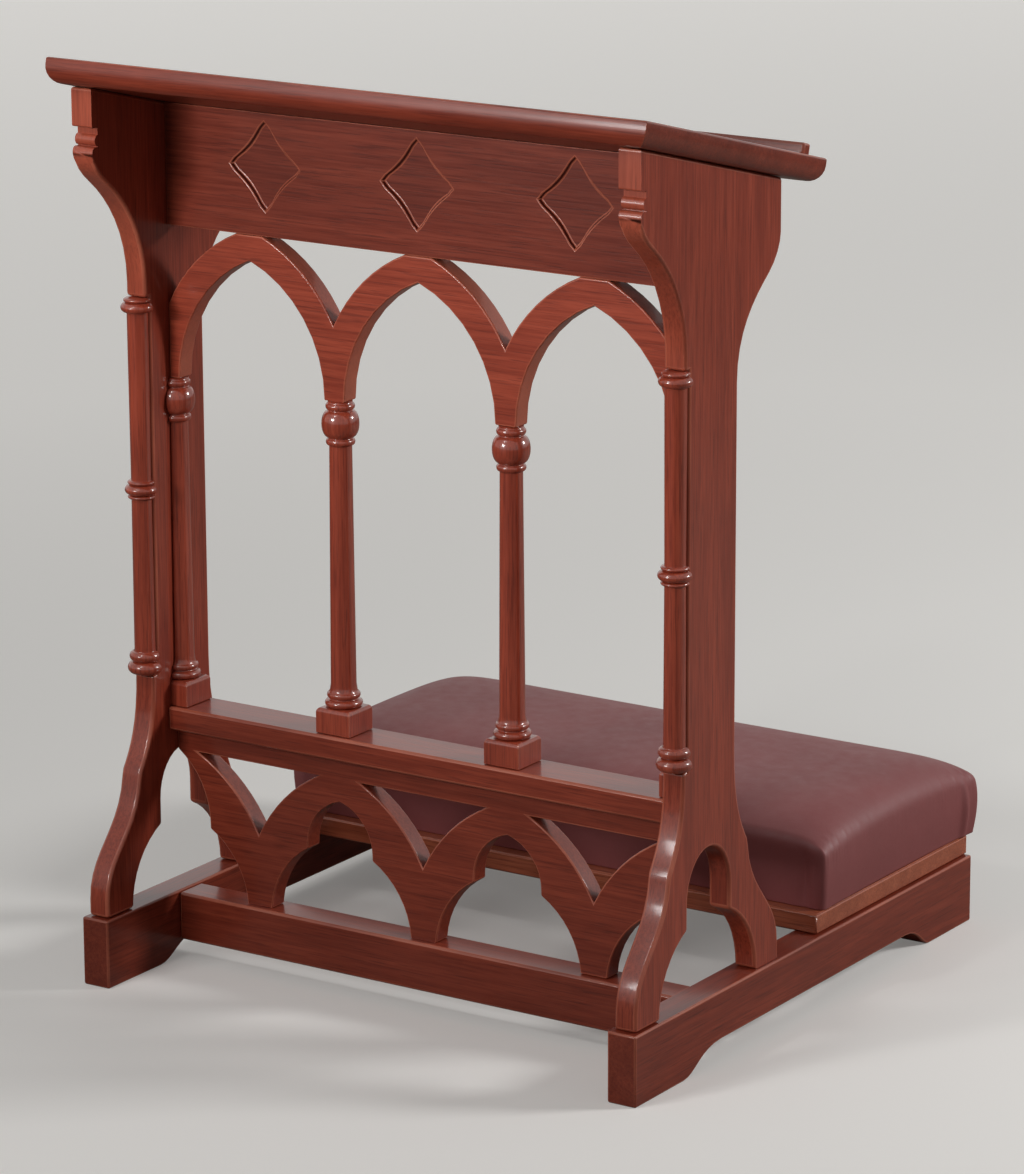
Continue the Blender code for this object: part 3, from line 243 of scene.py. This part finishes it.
def sanded_copy(node, width, through=None, painted_edge_light=0.0):
    """A CAD node with its long outer arrises eased; the rims of holes and other small details are left crisp.

    On a board sawn to an outline, through is the axis across its thickness: only the outline is eased, and above
    a set height the sawn edges are painted paler, as painted light from the side.
    """
    bm = whole_copy(node)
    arrises = [edge for edge in sharp_edges(bm, SMALL_DETAIL) if edge.is_convex]
    if through:
        arrises = [edge for edge in arrises if on_outline(edge, node, "XYZ".index(through))]
    ease_arrises(bm, arrises, width, not through)
    if through:
        # Painted light from the side: sawn edges above a set height turn paler.
        wear_and_light = bm.faces.layers.float["wear_and_light"]
        for face in bm.faces:
            in_painted_light = face.calc_center_median().z > PAINTED_LIGHT_FROM
            if in_painted_light and abs(face.normal["XYZ".index(through)]) < SAWN_SQUARE:
                face[wear_and_light] = max(face[wear_and_light], painted_edge_light)
    return bm


def sawn_piece(node, grain, seed, tone, width=BOARD_EASE, through=None, painted_edge_light=0.0, **finish):
    """A sawn and sanded board with its own cut of wood."""
    wood = stained_wood(node + "_stain", grain, seed, tone, **finish)
    add_piece(node + "_wood", sanded_copy(node, width, through, painted_edge_light), wood, "stained_wood", node)


# Painted shade: the runners and the other low boards get a lower tone, darker near the floor.
sawn_piece("left_runner", grain="Y", seed=1, tone=0.75, width=RUNNER_EASE, through="X")
sawn_piece("right_runner", grain="Y", seed=2, tone=0.75, width=RUNNER_EASE, through="X")

# Bottom stretcher
# A stout plain rail between the runners, tenoned into both. The lower arcade's legs stand on it.

# Painted shade near the floor: a lower tone.
sawn_piece("bottom_stretcher", grain="X", seed=3, tone=0.78)

# Standards
# Two upright boards sawn to an outline: spread foot with a keyhole, knee, slim shaft, and a corbelled head
# whose front edge has a quirk, a bead and a shoulder. Dowelled to the runners, screwed to the cleats above.

STANDARD_EASE = 0.0032
# Painted light on the standards' sawn edges.
STANDARD_PAINTED_LIGHT = 0.40

sawn_piece("left_standard", grain="Z", seed=4, tone=1.05, width=STANDARD_EASE, through="X",
           painted_edge_light=STANDARD_PAINTED_LIGHT)
sawn_piece("right_standard", grain="Z", seed=5, tone=1.00, width=STANDARD_EASE, through="X",
           painted_edge_light=STANDARD_PAINTED_LIGHT)

# Split columns
# Turned on the lathe as a whole, with rings at the foot, middle and top, then sawn flat at the back and glued
# into a rebate in each standard's front edge.

JOINT_GAP = 0.0003
COLUMN_SHAFT = 0.0095
COLUMN_ROOT = 0.0100
COLUMN_BEAD = 0.0128
COLUMN_RING = 0.0155
COLUMN_FOOT = 0.0165
COLUMN_BEAD_HEIGHT = 0.0040
COLUMN_RING_HEIGHT = 0.0095
COLUMN_FOOT_HEIGHT = 0.0120
TURNING_STEPS = 56
BEAD_STEPS = 10
TURNED_TONE = 1.15
TURNED_GLOSS = {"coat": 0.85, "haze": 0.05}


def bead(radius, root, middle, height, steps=BEAD_STEPS):
    """Half-round bead of a turning as (radius, height) points from its upper edge to its lower."""
    turns = [math.pi * (0.5 - step / steps) for step in range(steps + 1)]
    return [(root + (radius - root) * math.cos(turn), middle + height / 2 * math.sin(turn)) for turn in turns]


def turned(profile, axis):
    """A closed turning about an upright axis; the profile runs from the top of the axis to its foot."""
    bm = bmesh.new()
    line = [bm.verts.new((radius, 0, height)) for radius, height in profile]
    edges = [bm.edges.new(ends) for ends in zip(line, line[1:])]
    bmesh.ops.spin(bm, geom=line + edges, axis=(0, 0, 1), cent=(0, 0, 0), angle=math.tau,
                   steps=TURNING_STEPS, use_merge=True)
    bmesh.ops.remove_doubles(bm, verts=bm.verts, dist=MERGE)
    bmesh.ops.recalc_face_normals(bm, faces=bm.faces)
    bmesh.ops.translate(bm, vec=(*axis, 0), verts=bm.verts)
    return bm


def sawn_flat(bm, point, outward):
    """Saw a turning along a plane, drop the part on the outward side and close the cut."""
    cut = bmesh.ops.bisect_plane(bm, geom=bm.verts[:] + bm.edges[:] + bm.faces[:], plane_co=point,
                                 plane_no=outward, clear_outer=True)
    rim = [item for item in cut["geom_cut"] if isinstance(item, bmesh.types.BMEdge)]
    bmesh.ops.edgenet_fill(bm, edges=rim)
    bmesh.ops.recalc_face_normals(bm, faces=bm.faces)


def split_column(node, seed):
    """A half turning with a bead and a ring at the top, a banded ring halfway and two rounds at the foot."""
    low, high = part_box(node)
    top, foot = high.z - JOINT_GAP, low.z + JOINT_GAP
    middle = (high.z + low.z - COLUMN_BEAD_HEIGHT) / 2
    apart = (COLUMN_RING_HEIGHT + COLUMN_BEAD_HEIGHT) / 2
    line = [(0, high.z), (COLUMN_ROOT, high.z)]
    line += bead(COLUMN_BEAD, COLUMN_ROOT, top - COLUMN_BEAD_HEIGHT / 2, COLUMN_BEAD_HEIGHT)
    line += bead(COLUMN_RING, COLUMN_ROOT, top - COLUMN_BEAD_HEIGHT / 2 - apart, COLUMN_RING_HEIGHT)
    line += bead(COLUMN_BEAD, COLUMN_SHAFT, middle + apart, COLUMN_BEAD_HEIGHT)
    line += bead(COLUMN_RING, COLUMN_SHAFT, middle, COLUMN_RING_HEIGHT)
    line += bead(COLUMN_BEAD, COLUMN_SHAFT, middle - apart, COLUMN_BEAD_HEIGHT)
    line += bead((COLUMN_FOOT + COLUMN_BEAD) / 2, COLUMN_ROOT,
                 foot + COLUMN_FOOT_HEIGHT + COLUMN_RING_HEIGHT / 2, COLUMN_RING_HEIGHT)
    line += bead(COLUMN_FOOT, COLUMN_ROOT, foot + COLUMN_FOOT_HEIGHT / 2, COLUMN_FOOT_HEIGHT)
    line += [(COLUMN_ROOT, low.z), (0, low.z)]
    bm = turned(line, ((low.x + high.x) / 2, low.y + COLUMN_FOOT))
    sawn_flat(bm, (0, high.y, 0), (0, 1, 0))
    wood = stained_wood(node + "_stain", "Z", seed, TURNED_TONE, **TURNED_GLOSS)
    add_piece(node + "_turning", bm, wood, "stained_wood", node)


split_column("left_front_column", seed=6)
split_column("right_front_column", seed=7)

# Lower arcade
# One board fret-sawn with two shouldered arches, a half arch at each end and V-shaped spandrels between them,
# dowelled on to the stretcher under the middle rail.

# Painted shade near the floor: a lower tone.
sawn_piece("lower_arcade", grain="X", seed=8, tone=0.78, through="Y")

# Middle rail
# A flat rail laid on the lower arcade and tenoned into the standards; the turned posts stand on it.

# Painted shade near the floor: a lower tone.
sawn_piece("middle_rail", grain="X", seed=9, tone=0.85)

# Turned posts
# Slim posts with a ball and two rings at the top and two rounds at the foot on a square plinth. The middle two
# are whole and tenoned at both ends; the outer two are split and glued to the standards.

PLINTH_WIDTH = 0.0370
PLINTH_HEIGHT = 0.0235
PLINTH_EASE = 0.0042
PLINTH_EASE_STEPS = 5
PLINTH_ARRIS = 0.0008
POST_TOP_NECK = 0.0022
POST_GROOVE = 0.0011
POST_NECK = 0.0112
POST_RING = 0.0132
POST_RING_HEIGHT = 0.0060
POST_BALL = 0.0170
POST_BALL_HEIGHT = 0.0242
POST_SHAFT_TOP = 0.0103
POST_SHAFT_BOTTOM = 0.0117
POST_COLLAR = 0.0152
POST_COLLAR_HEIGHT = 0.0056
POST_FOOT = 0.0172
POST_FOOT_HEIGHT = 0.0072


def post_line(foot, top):
    """Outline of a post's turning between its plinth's top and the arcade, from the top down."""
    line = [(0, top), (POST_NECK, top)]
    level = top - POST_TOP_NECK - POST_RING_HEIGHT / 2
    line += bead(POST_RING, POST_NECK, level, POST_RING_HEIGHT)
    apart = (POST_RING_HEIGHT + POST_BALL_HEIGHT) / 2 + POST_GROOVE
    line += bead(POST_BALL, POST_NECK, level - apart, POST_BALL_HEIGHT, 2 * BEAD_STEPS)
    level -= 2 * apart
    line += bead(POST_RING, POST_NECK, level, POST_RING_HEIGHT)
    line.append((POST_SHAFT_TOP, level - POST_RING_HEIGHT / 2 - POST_GROOVE))
    collar = foot + POST_FOOT_HEIGHT + POST_GROOVE + POST_COLLAR_HEIGHT / 2
    flare = collar + POST_COLLAR_HEIGHT / 2
    line.append((POST_SHAFT_BOTTOM, flare + POST_FOOT_HEIGHT))
    line.append(((POST_SHAFT_BOTTOM + POST_RING) / 2, flare + 2 * POST_GROOVE))
    line += bead(POST_COLLAR, POST_RING, collar, POST_COLLAR_HEIGHT)
    line += bead(POST_FOOT, POST_RING, foot + POST_FOOT_HEIGHT / 2, POST_FOOT_HEIGHT)
    return line + [(POST_RING, foot), (0, foot)]


def turned_post(node, x, seed, keep=0):
    """A post and its plinth; keep is the side of x on which a split post's half stays."""
    rail_low, rail_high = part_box("middle_rail")
    y = (rail_low.y + rail_high.y) / 2
    base = rail_high.z + JOINT_GAP
    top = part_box("upper_arcade")[0].z - JOINT_GAP
    wood = stained_wood(node + "_stain", "Z", seed, TURNED_TONE, **TURNED_GLOSS)
    post = turned(post_line(base + PLINTH_HEIGHT, top), (x, y))
    plinth = bmesh.new()
    bmesh.ops.create_cube(plinth, size=1, matrix=Matrix.Translation((x, y, base + PLINTH_HEIGHT / 2))
                          @ Matrix.Diagonal((PLINTH_WIDTH, PLINTH_WIDTH, PLINTH_HEIGHT, 1)))
    upper = [edge for edge in plinth.edges if all(vert.co.z > base + PLINTH_HEIGHT / 2 for vert in edge.verts)]
    bmesh.ops.bevel(plinth, geom=upper, offset=PLINTH_EASE, offset_type="OFFSET", segments=PLINTH_EASE_STEPS,
                    profile=0.5, affect="EDGES", material=-1)
    if keep:
        for bm in (post, plinth):
            sawn_flat(bm, (x + keep * JOINT_GAP, 0, 0), (-keep, 0, 0))
    ease_arrises(plinth, sharp_edges(plinth), PLINTH_ARRIS)
    add_piece(node + "_turning", post, wood, "stained_wood", node)
    add_piece(node + "_plinth", plinth, wood, "stained_wood", node)


inner_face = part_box("right_standard")[0].x
arch_spacing = 2 * inner_face / 3
turned_post("left_half_colonette", -inner_face, seed=10, keep=1)
turned_post("inner_left_colonette", -arch_spacing / 2, seed=11)
turned_post("inner_right_colonette", arch_spacing / 2, seed=12)
turned_post("right_half_colonette", inner_face, seed=13, keep=-1)

# Upper arcade
# One board fret-sawn into three pointed arches on square legs, standing on the posts' tenons and dowelled to
# the standards.

# Painted light: the arches' sawn edges are painted pale, as if lit from the right.
ARCADE_PAINTED_LIGHT = 1.0

sawn_piece("upper_arcade", grain="X", seed=14, tone=1.05, through="Y", painted_edge_light=ARCADE_PAINTED_LIGHT)

# Frieze
# A board under the desk with three sunk lozenges routed in its face, tenoned into the standards' heads. The
# lozenges' sunk walls and floors are painted darker, as painted shade in the recesses.

LOZENGE_DEPTH = 0.0035
LOZENGE_FLOOR_SHADE = 0.20
LOZENGE_WALL_SHADE = 0.85
FACING_FRONT = 0.9
PANEL_EASE = 0.0009
# The frieze's lower tone is its own darker stain and painted shade under the desk.
PANEL_TONE_AND_SHADE = 0.66

panel = whole_copy("frieze_panel")
ease_arrises(panel, sharp_edges(panel), PANEL_EASE)
wear_and_light = panel.faces.layers.float["wear_and_light"]
painted_recess_shade = panel.faces.layers.float.new("painted_recess_shade")
panel_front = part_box("frieze_panel")[0].y
# Painted shade: darken the lozenges' sunk walls and floors.
for face in panel.faces:
    sunk = face.calc_center_median().y - panel_front
    if not face[wear_and_light] and MERGE < sunk < LOZENGE_DEPTH + MERGE:
        face[painted_recess_shade] = LOZENGE_FLOOR_SHADE if abs(face.normal.y) > FACING_FRONT else LOZENGE_WALL_SHADE
panel_stain = stained_wood("frieze_panel_stain", grain="X", seed=15, tone=PANEL_TONE_AND_SHADE)
add_piece("frieze_panel_wood", panel, panel_stain, "stained_wood", "frieze_panel")

# Desk top and book ledge
# A sloped board with a rounded edge all round, and a thin strip let in along its low edge to stop books. Hands
# and books have dulled the lacquer.

DESK_EASE = 0.0006
DESK_COAT = 0.24

# Painted shade: the desk and its ledge get a lower tone.
sawn_piece("desk_top", grain="X", seed=16, tone=0.68, width=DESK_EASE, coat=DESK_COAT)
sawn_piece("book_ledge", grain="X", seed=17, tone=0.72, coat=DESK_COAT)

# Cleats
# Two square battens of the paler wood behind the frieze, screwed to the standards and up into the desk.

PALE_DARK = (0.215, 0.0440, 0.0190)
PALE_LIGHT = (0.450, 0.1250, 0.0600)


def dress(node, material):
    """Give a CAD node that stays in view its finished material."""
    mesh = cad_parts[node].data
    mesh.materials.clear()
    mesh.materials.append(material)


cleat_stain = stained_wood("cleat_stain", grain="Y", seed=18, dark=PALE_DARK, light=PALE_LIGHT)
dress("left_desk_cleat", cleat_stain)
dress("right_desk_cleat", cleat_stain)

# Kneeling board
# A flat board of paler stain laid across the runners and screwed down to them.

board_stain = stained_wood("kneeler_board_stain", grain="X", seed=19, dark=PALE_DARK, light=PALE_LIGHT)
board = sanded_copy("kneeler_board", BOARD_EASE)
add_piece("kneeler_board_wood", board, board_stain, "board_wood", "kneeler_board")

# Plywood base
# The panel under the foam that the cover is stapled to, screwed from below through the kneeling board.

PLY_DARK = (0.42, 0.28, 0.15)
PLY_LIGHT = (0.60, 0.44, 0.27)
RAW_STRETCH = 0.05


def raw_wood(name, dark, light, grain):
    """Unfinished wood: pale, matt, with fine straight fibres along "X", "Y" or "Z"."""
    material = bpy.data.materials.new(name)
    material.use_nodes = True
    tree = material.node_tree
    shader = tree.nodes["Principled BSDF"]
    stretched = tuple(RAW_STRETCH if axis == grain else 1.0 for axis in "XYZ")
    fibre = texture(tree, "ShaderNodeTexNoise", mapped(tree, (0, 0, 0), stretched), Scale=300.0, Detail=4.0)
    tree.links.new(blended(tree, fibre.outputs["Fac"], dark, light), shader.inputs["Base Color"])
    tree.links.new(stops(tree, fibre.outputs["Fac"], (0.3, 0.75), (0.7, 0.6)), shader.inputs["Roughness"])
    return material


dress("pad_base", raw_wood("plywood", PLY_DARK, PLY_LIGHT, grain="X"))

# Cushion
# A crowned foam pad in a brown leather-look vinyl cover, boxed at the sides, pulled down over the plywood and
# folded at the corners. It sits on the kneeling board and hangs a little over its back edge.

CUSHION_CELLS = (72, 120, 16)
CUSHION_CROWDING = 0.58
CUSHION_SIDE_INSET = 0.0005
CUSHION_FRONT_INSET = 0.012
CUSHION_BACK_OVERHANG = 0.008
CUSHION_EDGE_HEIGHT = 0.0645
CUSHION_ROLL = 0.007
CUSHION_CROWN = 0.0205
CUSHION_END_FULLNESS = 18
CUSHION_SIDE_FULLNESS = 4
CUSHION_CORNER_DROP = 0.0080
CUSHION_DRAW_IN = 0.002
CUSHION_SWELL = 0.003
CUSHION_SWELL_SPAN = 0.8
CUSHION_PRESSURE = 4.0
CUSHION_GIVE = 0.30
CUSHION_STRETCH = 0.004
CUSHION_FRAMES = 20
PLEAT_PLACE = 0.019
PLEAT_WIDTH = 0.0040
PLEAT_DEPTH = 0.0035
PLEAT_START = 0.15
PLEAT_SPAN = 0.9
GATHER_PITCH = 0.0085
GATHER_WAVER = 1.62
GATHER_REACH = 0.060
GATHER_LEAST = 0.35
GATHER_LEVEL = 0.86
GATHER_DROP = 0.25
GATHER_HEIGHT = 0.0004
FLAP_REACH = 0.016
FLAP_DEPTH = 0.005
FLAP_FULLNESS = 4
RECESS_GAP = 0.0006
VINYL_DARK = (0.165, 0.039, 0.039)
VINYL_LIGHT = (0.210, 0.052, 0.052)


def vinyl(name):
    """Leather-look vinyl: fine pebble grain, soft creases, and a dull sheen."""
    material = bpy.data.materials.new(name)
    material.use_nodes = True
    tree = material.node_tree
    shader = tree.nodes["Principled BSDF"]
    plain = mapped(tree, (0, 0, 0), (1.0, 1.0, 1.0))
    grain = texture(tree, "ShaderNodeTexVoronoi", plain, Scale=650.0)
    cloud = texture(tree, "ShaderNodeTexNoise", plain, Scale=14.0, Detail=4.0, Roughness=0.6)
    creases = texture(tree, "ShaderNodeTexNoise", plain, Scale=70.0, Detail=5.0, Roughness=0.6)
    tone = blended(tree, cloud.outputs["Fac"], VINYL_DARK, VINYL_LIGHT)
    tree.links.new(tone, shader.inputs["Base Color"])
    gloss = stops(tree, creases.outputs["Fac"], (0.3, 0.50), (0.7, 0.62))
    tree.links.new(gloss, shader.inputs["Roughness"])
    bump = tree.nodes.new("ShaderNodeBump")
    bump.inputs["Strength"].default_value = 0.18
    bump.inputs["Distance"].default_value = 0.0003
    tree.links.new(number(tree, "ADD", grain.outputs["Distance"], creases.outputs["Fac"]), bump.inputs["Height"])
    tree.links.new(bump.outputs["Normal"], shader.inputs["Normal"])
    return material


def applied(piece):
    """The piece's mesh with its modifiers worked in."""
    graph = bpy.context.evaluated_depsgraph_get()
    mesh = bpy.data.meshes.new_from_object(piece.evaluated_get(graph))
    piece.modifiers.clear()
    old = piece.data
    piece.data = mesh
    bpy.data.meshes.remove(old)


def closer_to_edges(step):
    """A cell line's place from -1 to 1, with the lines closer together towards both ends."""
    return step + CUSHION_CROWDING * (math.sin(step * math.pi / 2) - step)


def hump(distance, width):
    """A soft bump, 1 at no distance and fading out over the width."""
    return math.exp(-(distance / width) ** 2)


board_low, board_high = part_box("kneeler_board")
pad_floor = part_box("pad_cushion")[0].z
pad_back = board_high.y + CUSHION_BACK_OVERHANG
pad_front = board_low.y + CUSHION_FRONT_INSET
pad_half = Vector((board_high.x - CUSHION_SIDE_INSET, (pad_back - pad_front) / 2, CUSHION_EDGE_HEIGHT / 2))
core = pad_half - Vector((CUSHION_ROLL, CUSHION_ROLL, CUSHION_ROLL))
pad = bmesh.new()
bmesh.ops.create_cube(pad, size=2)
for axis, cells in enumerate(CUSHION_CELLS):
    along = [edge for edge in pad.edges if abs(edge.verts[0].co[axis] - edge.verts[1].co[axis]) > 1]
    bmesh.ops.subdivide_edges(pad, edges=along, cuts=cells - 1, use_grid_fill=True)
sharp_foot = pad.edges.layers.float.new("crease_edge")
for edge in pad.edges:
    if len([face for face in edge.link_faces if face.normal.z < -0.5]) == 1:
        edge[sharp_foot] = 1.0
for vert in pad.verts:
    point = Vector([closer_to_edges(vert.co[axis]) * pad_half[axis] for axis in range(3)])
    inner = Vector((max(-core.x, min(core.x, point.x)), max(-core.y, min(core.y, point.y)), min(core.z, point.z)))
    point = inner + (point - inner).normalized() * min((point - inner).length, CUSHION_ROLL)
    across, along, level = point.x / pad_half.x, point.y / pad_half.y, (point.z / pad_half.z + 1) / 2
    crown = CUSHION_CROWN * (1 - across ** CUSHION_END_FULLNESS) * (1 - along ** CUSHION_SIDE_FULLNESS)
    swell = CUSHION_SWELL * math.sin(CUSHION_SWELL_SPAN * math.pi * level)
    drop = CUSHION_CORNER_DROP * across ** CUSHION_END_FULLNESS * along ** 2
    vert.co.x = across * (pad_half.x + swell - CUSHION_DRAW_IN * (1 - along ** 2))
    vert.co.y = (pad_front + pad_back) / 2 + along * (pad_half.y + swell - CUSHION_DRAW_IN * (1 - across ** 2))
    vert.co.z = pad_floor + level * (CUSHION_EDGE_HEIGHT + crown - drop)
cushion = add_piece("pad_cushion_vinyl", pad, vinyl("brown_vinyl"), "brown_vinyl", "pad_cushion")
cushion.modifiers.clear()

foot = [vert.index for vert in cushion.data.vertices if vert.co.z < pad_floor + MERGE]
held = cushion.vertex_groups.new(name="held")
held.add(range(len(cushion.data.vertices)), 1 - CUSHION_GIVE, "REPLACE")
held.add(foot, 1.0, "REPLACE")
start = [vert.co.copy() for vert in cushion.data.vertices]
cloth = cushion.modifiers.new("stuffing", "CLOTH")
cloth.settings.vertex_group_mass = "held"
cloth.settings.use_pressure = True
cloth.settings.uniform_pressure_force = CUSHION_PRESSURE
cloth.settings.effector_weights.gravity = 0.0
cloth.point_cache.frame_start = 1
cloth.point_cache.frame_end = CUSHION_FRAMES
for step in range(1, CUSHION_FRAMES + 1):
    bpy.context.scene.frame_set(step)
applied(cushion)
for vert, rest in zip(cushion.data.vertices, start):
    move = vert.co - rest
    if move.length > CUSHION_STRETCH:
        vert.co = rest + move * (CUSHION_STRETCH / move.length)
bpy.context.scene.frame_set(1)

for vert in cushion.data.vertices:
    level = (vert.co.z - pad_floor) / CUSHION_EDGE_HEIGHT
    fold = PLEAT_DEPTH * max(0, math.sin(math.pi * min(1, PLEAT_SPAN * level + PLEAT_START)))
    from_end = pad_half.x - abs(vert.co.x)
    from_corner = min(vert.co.y - pad_front, pad_back - vert.co.y)
    if from_end < PLEAT_PLACE / 2:
        inward = fold * hump(pad_back - PLEAT_PLACE - vert.co.y, PLEAT_WIDTH)
        turn = math.tau * (vert.co.y - pad_front) / GATHER_PITCH
        gather = GATHER_HEIGHT * (math.cos(turn) + math.cos(turn / GATHER_WAVER))
        gather *= hump(level - GATHER_LEVEL, GATHER_DROP)
        gather *= GATHER_LEAST + (1 - GATHER_LEAST) * hump(from_corner, GATHER_REACH)
        vert.co.x += math.copysign(gather - inward, vert.co.x)
        vert.co.z += gather * level
    if vert.co.y < pad_front + PLEAT_PLACE / 2:
        vert.co.y += fold * hump(from_end - PLEAT_PLACE, PLEAT_WIDTH)
    at_back_corner = hump(from_end, FLAP_REACH) * hump(pad_back - vert.co.y, FLAP_REACH)
    flap = FLAP_DEPTH * at_back_corner * max(0, 1 - level ** FLAP_FULLNESS)
    vert.co += Vector((math.copysign(flap / 2, vert.co.x), flap, 0))

base_low, base_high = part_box("pad_base")
pad = bmesh.new()
pad.from_mesh(cushion.data)
under = [face for face in pad.faces if face.normal.z < -0.9
         and all(base_low.x < vert.co.x < base_high.x and base_low.y < vert.co.y < base_high.y
                 for vert in face.verts)]
recess = bmesh.ops.extrude_face_region(pad, geom=under)["geom"]
rim = [item for item in recess if isinstance(item, bmesh.types.BMVert)]
bmesh.ops.translate(pad, vec=(0, 0, base_high.z - base_low.z + RECESS_GAP), verts=rim)
pad.to_mesh(cushion.data)
pad.free()
cushion.data.shade_smooth()
smooth = cushion.modifiers.new("smooth cover", "SUBSURF")
smooth.levels = 1
smooth.render_levels = 1

# Dowels and screws
# Beech dowels glued into both halves of each joint, and plated countersunk wood screws; none shows outside.

BEECH_DARK = (0.46, 0.30, 0.16)
BEECH_LIGHT = (0.64, 0.46, 0.28)
STEEL_DULL = (0.44, 0.43, 0.41)
STEEL_BRIGHT = (0.62, 0.61, 0.58)


def plated_steel(name):
    """Zinc-plated steel, a little uneven in colour and gloss."""
    material = bpy.data.materials.new(name)
    material.use_nodes = True
    tree = material.node_tree
    shader = tree.nodes["Principled BSDF"]
    cloud = texture(tree, "ShaderNodeTexNoise", mapped(tree, (0, 0, 0), (1.0, 1.0, 1.0)), Scale=400.0, Detail=3.0)
    tree.links.new(blended(tree, cloud.outputs["Fac"], STEEL_DULL, STEEL_BRIGHT), shader.inputs["Base Color"])
    tree.links.new(stops(tree, cloud.outputs["Fac"], (0.3, 0.25), (0.7, 0.45)), shader.inputs["Roughness"])
    shader.inputs["Metallic"].default_value = 1.0
    return material


beech = raw_wood("beech", BEECH_DARK, BEECH_LIGHT, grain="Z")
steel = plated_steel("plated_steel")
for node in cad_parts:
    if "_dowel_" in node:
        dress(node, beech)
    if "_screw_" in node:
        dress(node, steel)

# Studio
# A plain pale floor and backdrop, a gridded softbox low in front, a weak one above it, a small lamp for the
# glints, a softbox behind on the right, and the camera where the photographer stood.

FLOOR_SIZE = 40.0
FLOOR_FADE = 8.0
FLOOR_GLOW = ((0.0, 0.18), (0.30, 0.50), (1.0, 0.80))
FLOOR_PALE = (0.70, 0.685, 0.66)
FLOOR_BOUNCE = (0.26, 0.22, 0.19)
WORLD_PALE = (0.80, 0.80, 0.79)
WORLD_LIGHT = 0.17
CAMERA_PLACE = Vector((2.5016, -3.8315, 1.5776))
CAMERA_AZIMUTH = math.radians(33.39)
CAMERA_ELEVATION = math.radians(14.99)
CAMERA_ROLL = math.radians(-0.231)
LENS = 158.48
SENSOR_WIDTH = 36.0

ground = bmesh.new()
bmesh.ops.create_grid(ground, x_segments=1, y_segments=1, size=FLOOR_SIZE / 2)
floor_mesh = bpy.data.meshes.new("studio_floor")
ground.to_mesh(floor_mesh)
ground.free()
paper = bpy.data.materials.new("pale_floor")
paper.use_nodes = True
tree = paper.node_tree
shader = tree.nodes["Principled BSDF"]
seen = tree.nodes.new("ShaderNodeLightPath").outputs["Is Camera Ray"]
tree.links.new(blended(tree, seen, FLOOR_BOUNCE, FLOOR_PALE), shader.inputs["Base Color"])
shader.inputs["Roughness"].default_value = 0.75
shader.inputs["Emission Color"].default_value = (*FLOOR_PALE, 1)
distance = tree.nodes.new("ShaderNodeVectorMath")
distance.operation = "LENGTH"
tree.links.new(mapped(tree, (0, 0, 0), (1.0, 1.0, 1.0)), distance.inputs[0])
away = number(tree, "DIVIDE", distance.outputs["Value"], FLOOR_FADE)
glow = number(tree, "MULTIPLY", seen, stops(tree, away, *FLOOR_GLOW))
tree.links.new(glow, shader.inputs["Emission Strength"])
floor_mesh.materials.append(paper)
studio_floor = bpy.data.objects.new("studio_floor", floor_mesh)
bpy.context.scene.collection.objects.link(studio_floor)


def soft_light(name, place, target, width, height, power, spread=180):
    """A softbox; a grid in front of it narrows its light to the spread in degrees."""
    lamp = bpy.data.lights.new(name, "AREA")
    lamp.shape = "RECTANGLE"
    lamp.size = width
    lamp.size_y = height
    lamp.energy = power
    lamp.spread = math.radians(spread)
    light = bpy.data.objects.new(name, lamp)
    light.location = place
    light.rotation_euler = (Vector(target) - Vector(place)).to_track_quat("-Z", "Y").to_euler()
    bpy.context.scene.collection.objects.link(light)


soft_light("front_light", place=(-0.75, -2.60, 1.30), target=(0.06, -0.18, 0.80), width=0.8, height=0.5,
           power=4.2, spread=50)
soft_light("top_light", place=(-0.30, -1.30, 2.00), target=(0, 0, 0.40), width=0.6, height=0.6, power=3.0)
soft_light("glint", place=(-0.35, -1.25, 1.62), target=(0, -0.18, 0.50), width=0.14, height=0.14, power=2.6)
soft_light("side_light", place=(2.30, 1.30, 1.50), target=(0.1, 0, 0.45), width=0.6, height=0.6, power=47.0)

world = bpy.data.worlds.new("studio")
bpy.context.scene.world = world
world.use_nodes = True
tree = world.node_tree
backdrop = tree.nodes["Background"]
backdrop.inputs["Color"].default_value = (*WORLD_PALE, 1)
rays = tree.nodes.new("ShaderNodeLightPath").outputs
mirrored = number(tree, "MAXIMUM", rays["Is Glossy Ray"], rays["Is Transmission Ray"])
seen = number(tree, "MAXIMUM", rays["Is Camera Ray"], mirrored)
tree.links.new(number(tree, "MAXIMUM", seen, WORLD_LIGHT), backdrop.inputs["Strength"])
bpy.context.scene.view_settings.view_transform = "Standard"

back = Vector((math.sin(CAMERA_AZIMUTH) * math.cos(CAMERA_ELEVATION),
               -math.cos(CAMERA_AZIMUTH) * math.cos(CAMERA_ELEVATION), math.sin(CAMERA_ELEVATION)))
right = Vector((math.cos(CAMERA_AZIMUTH), math.sin(CAMERA_AZIMUTH), 0))
up = back.cross(right)
rolled_right = right * math.cos(CAMERA_ROLL) + up * math.sin(CAMERA_ROLL)
rolled_up = up * math.cos(CAMERA_ROLL) - right * math.sin(CAMERA_ROLL)
lens = bpy.data.cameras.new("photographer")
lens.lens = LENS
lens.sensor_width = SENSOR_WIDTH
camera = bpy.data.objects.new("photographer", lens)
turned_to_kneeler = Matrix((rolled_right, rolled_up, back)).transposed().to_4x4()
camera.matrix_world = Matrix.Translation(CAMERA_PLACE) @ turned_to_kneeler
bpy.context.scene.collection.objects.link(camera)
bpy.context.scene.camera = camera
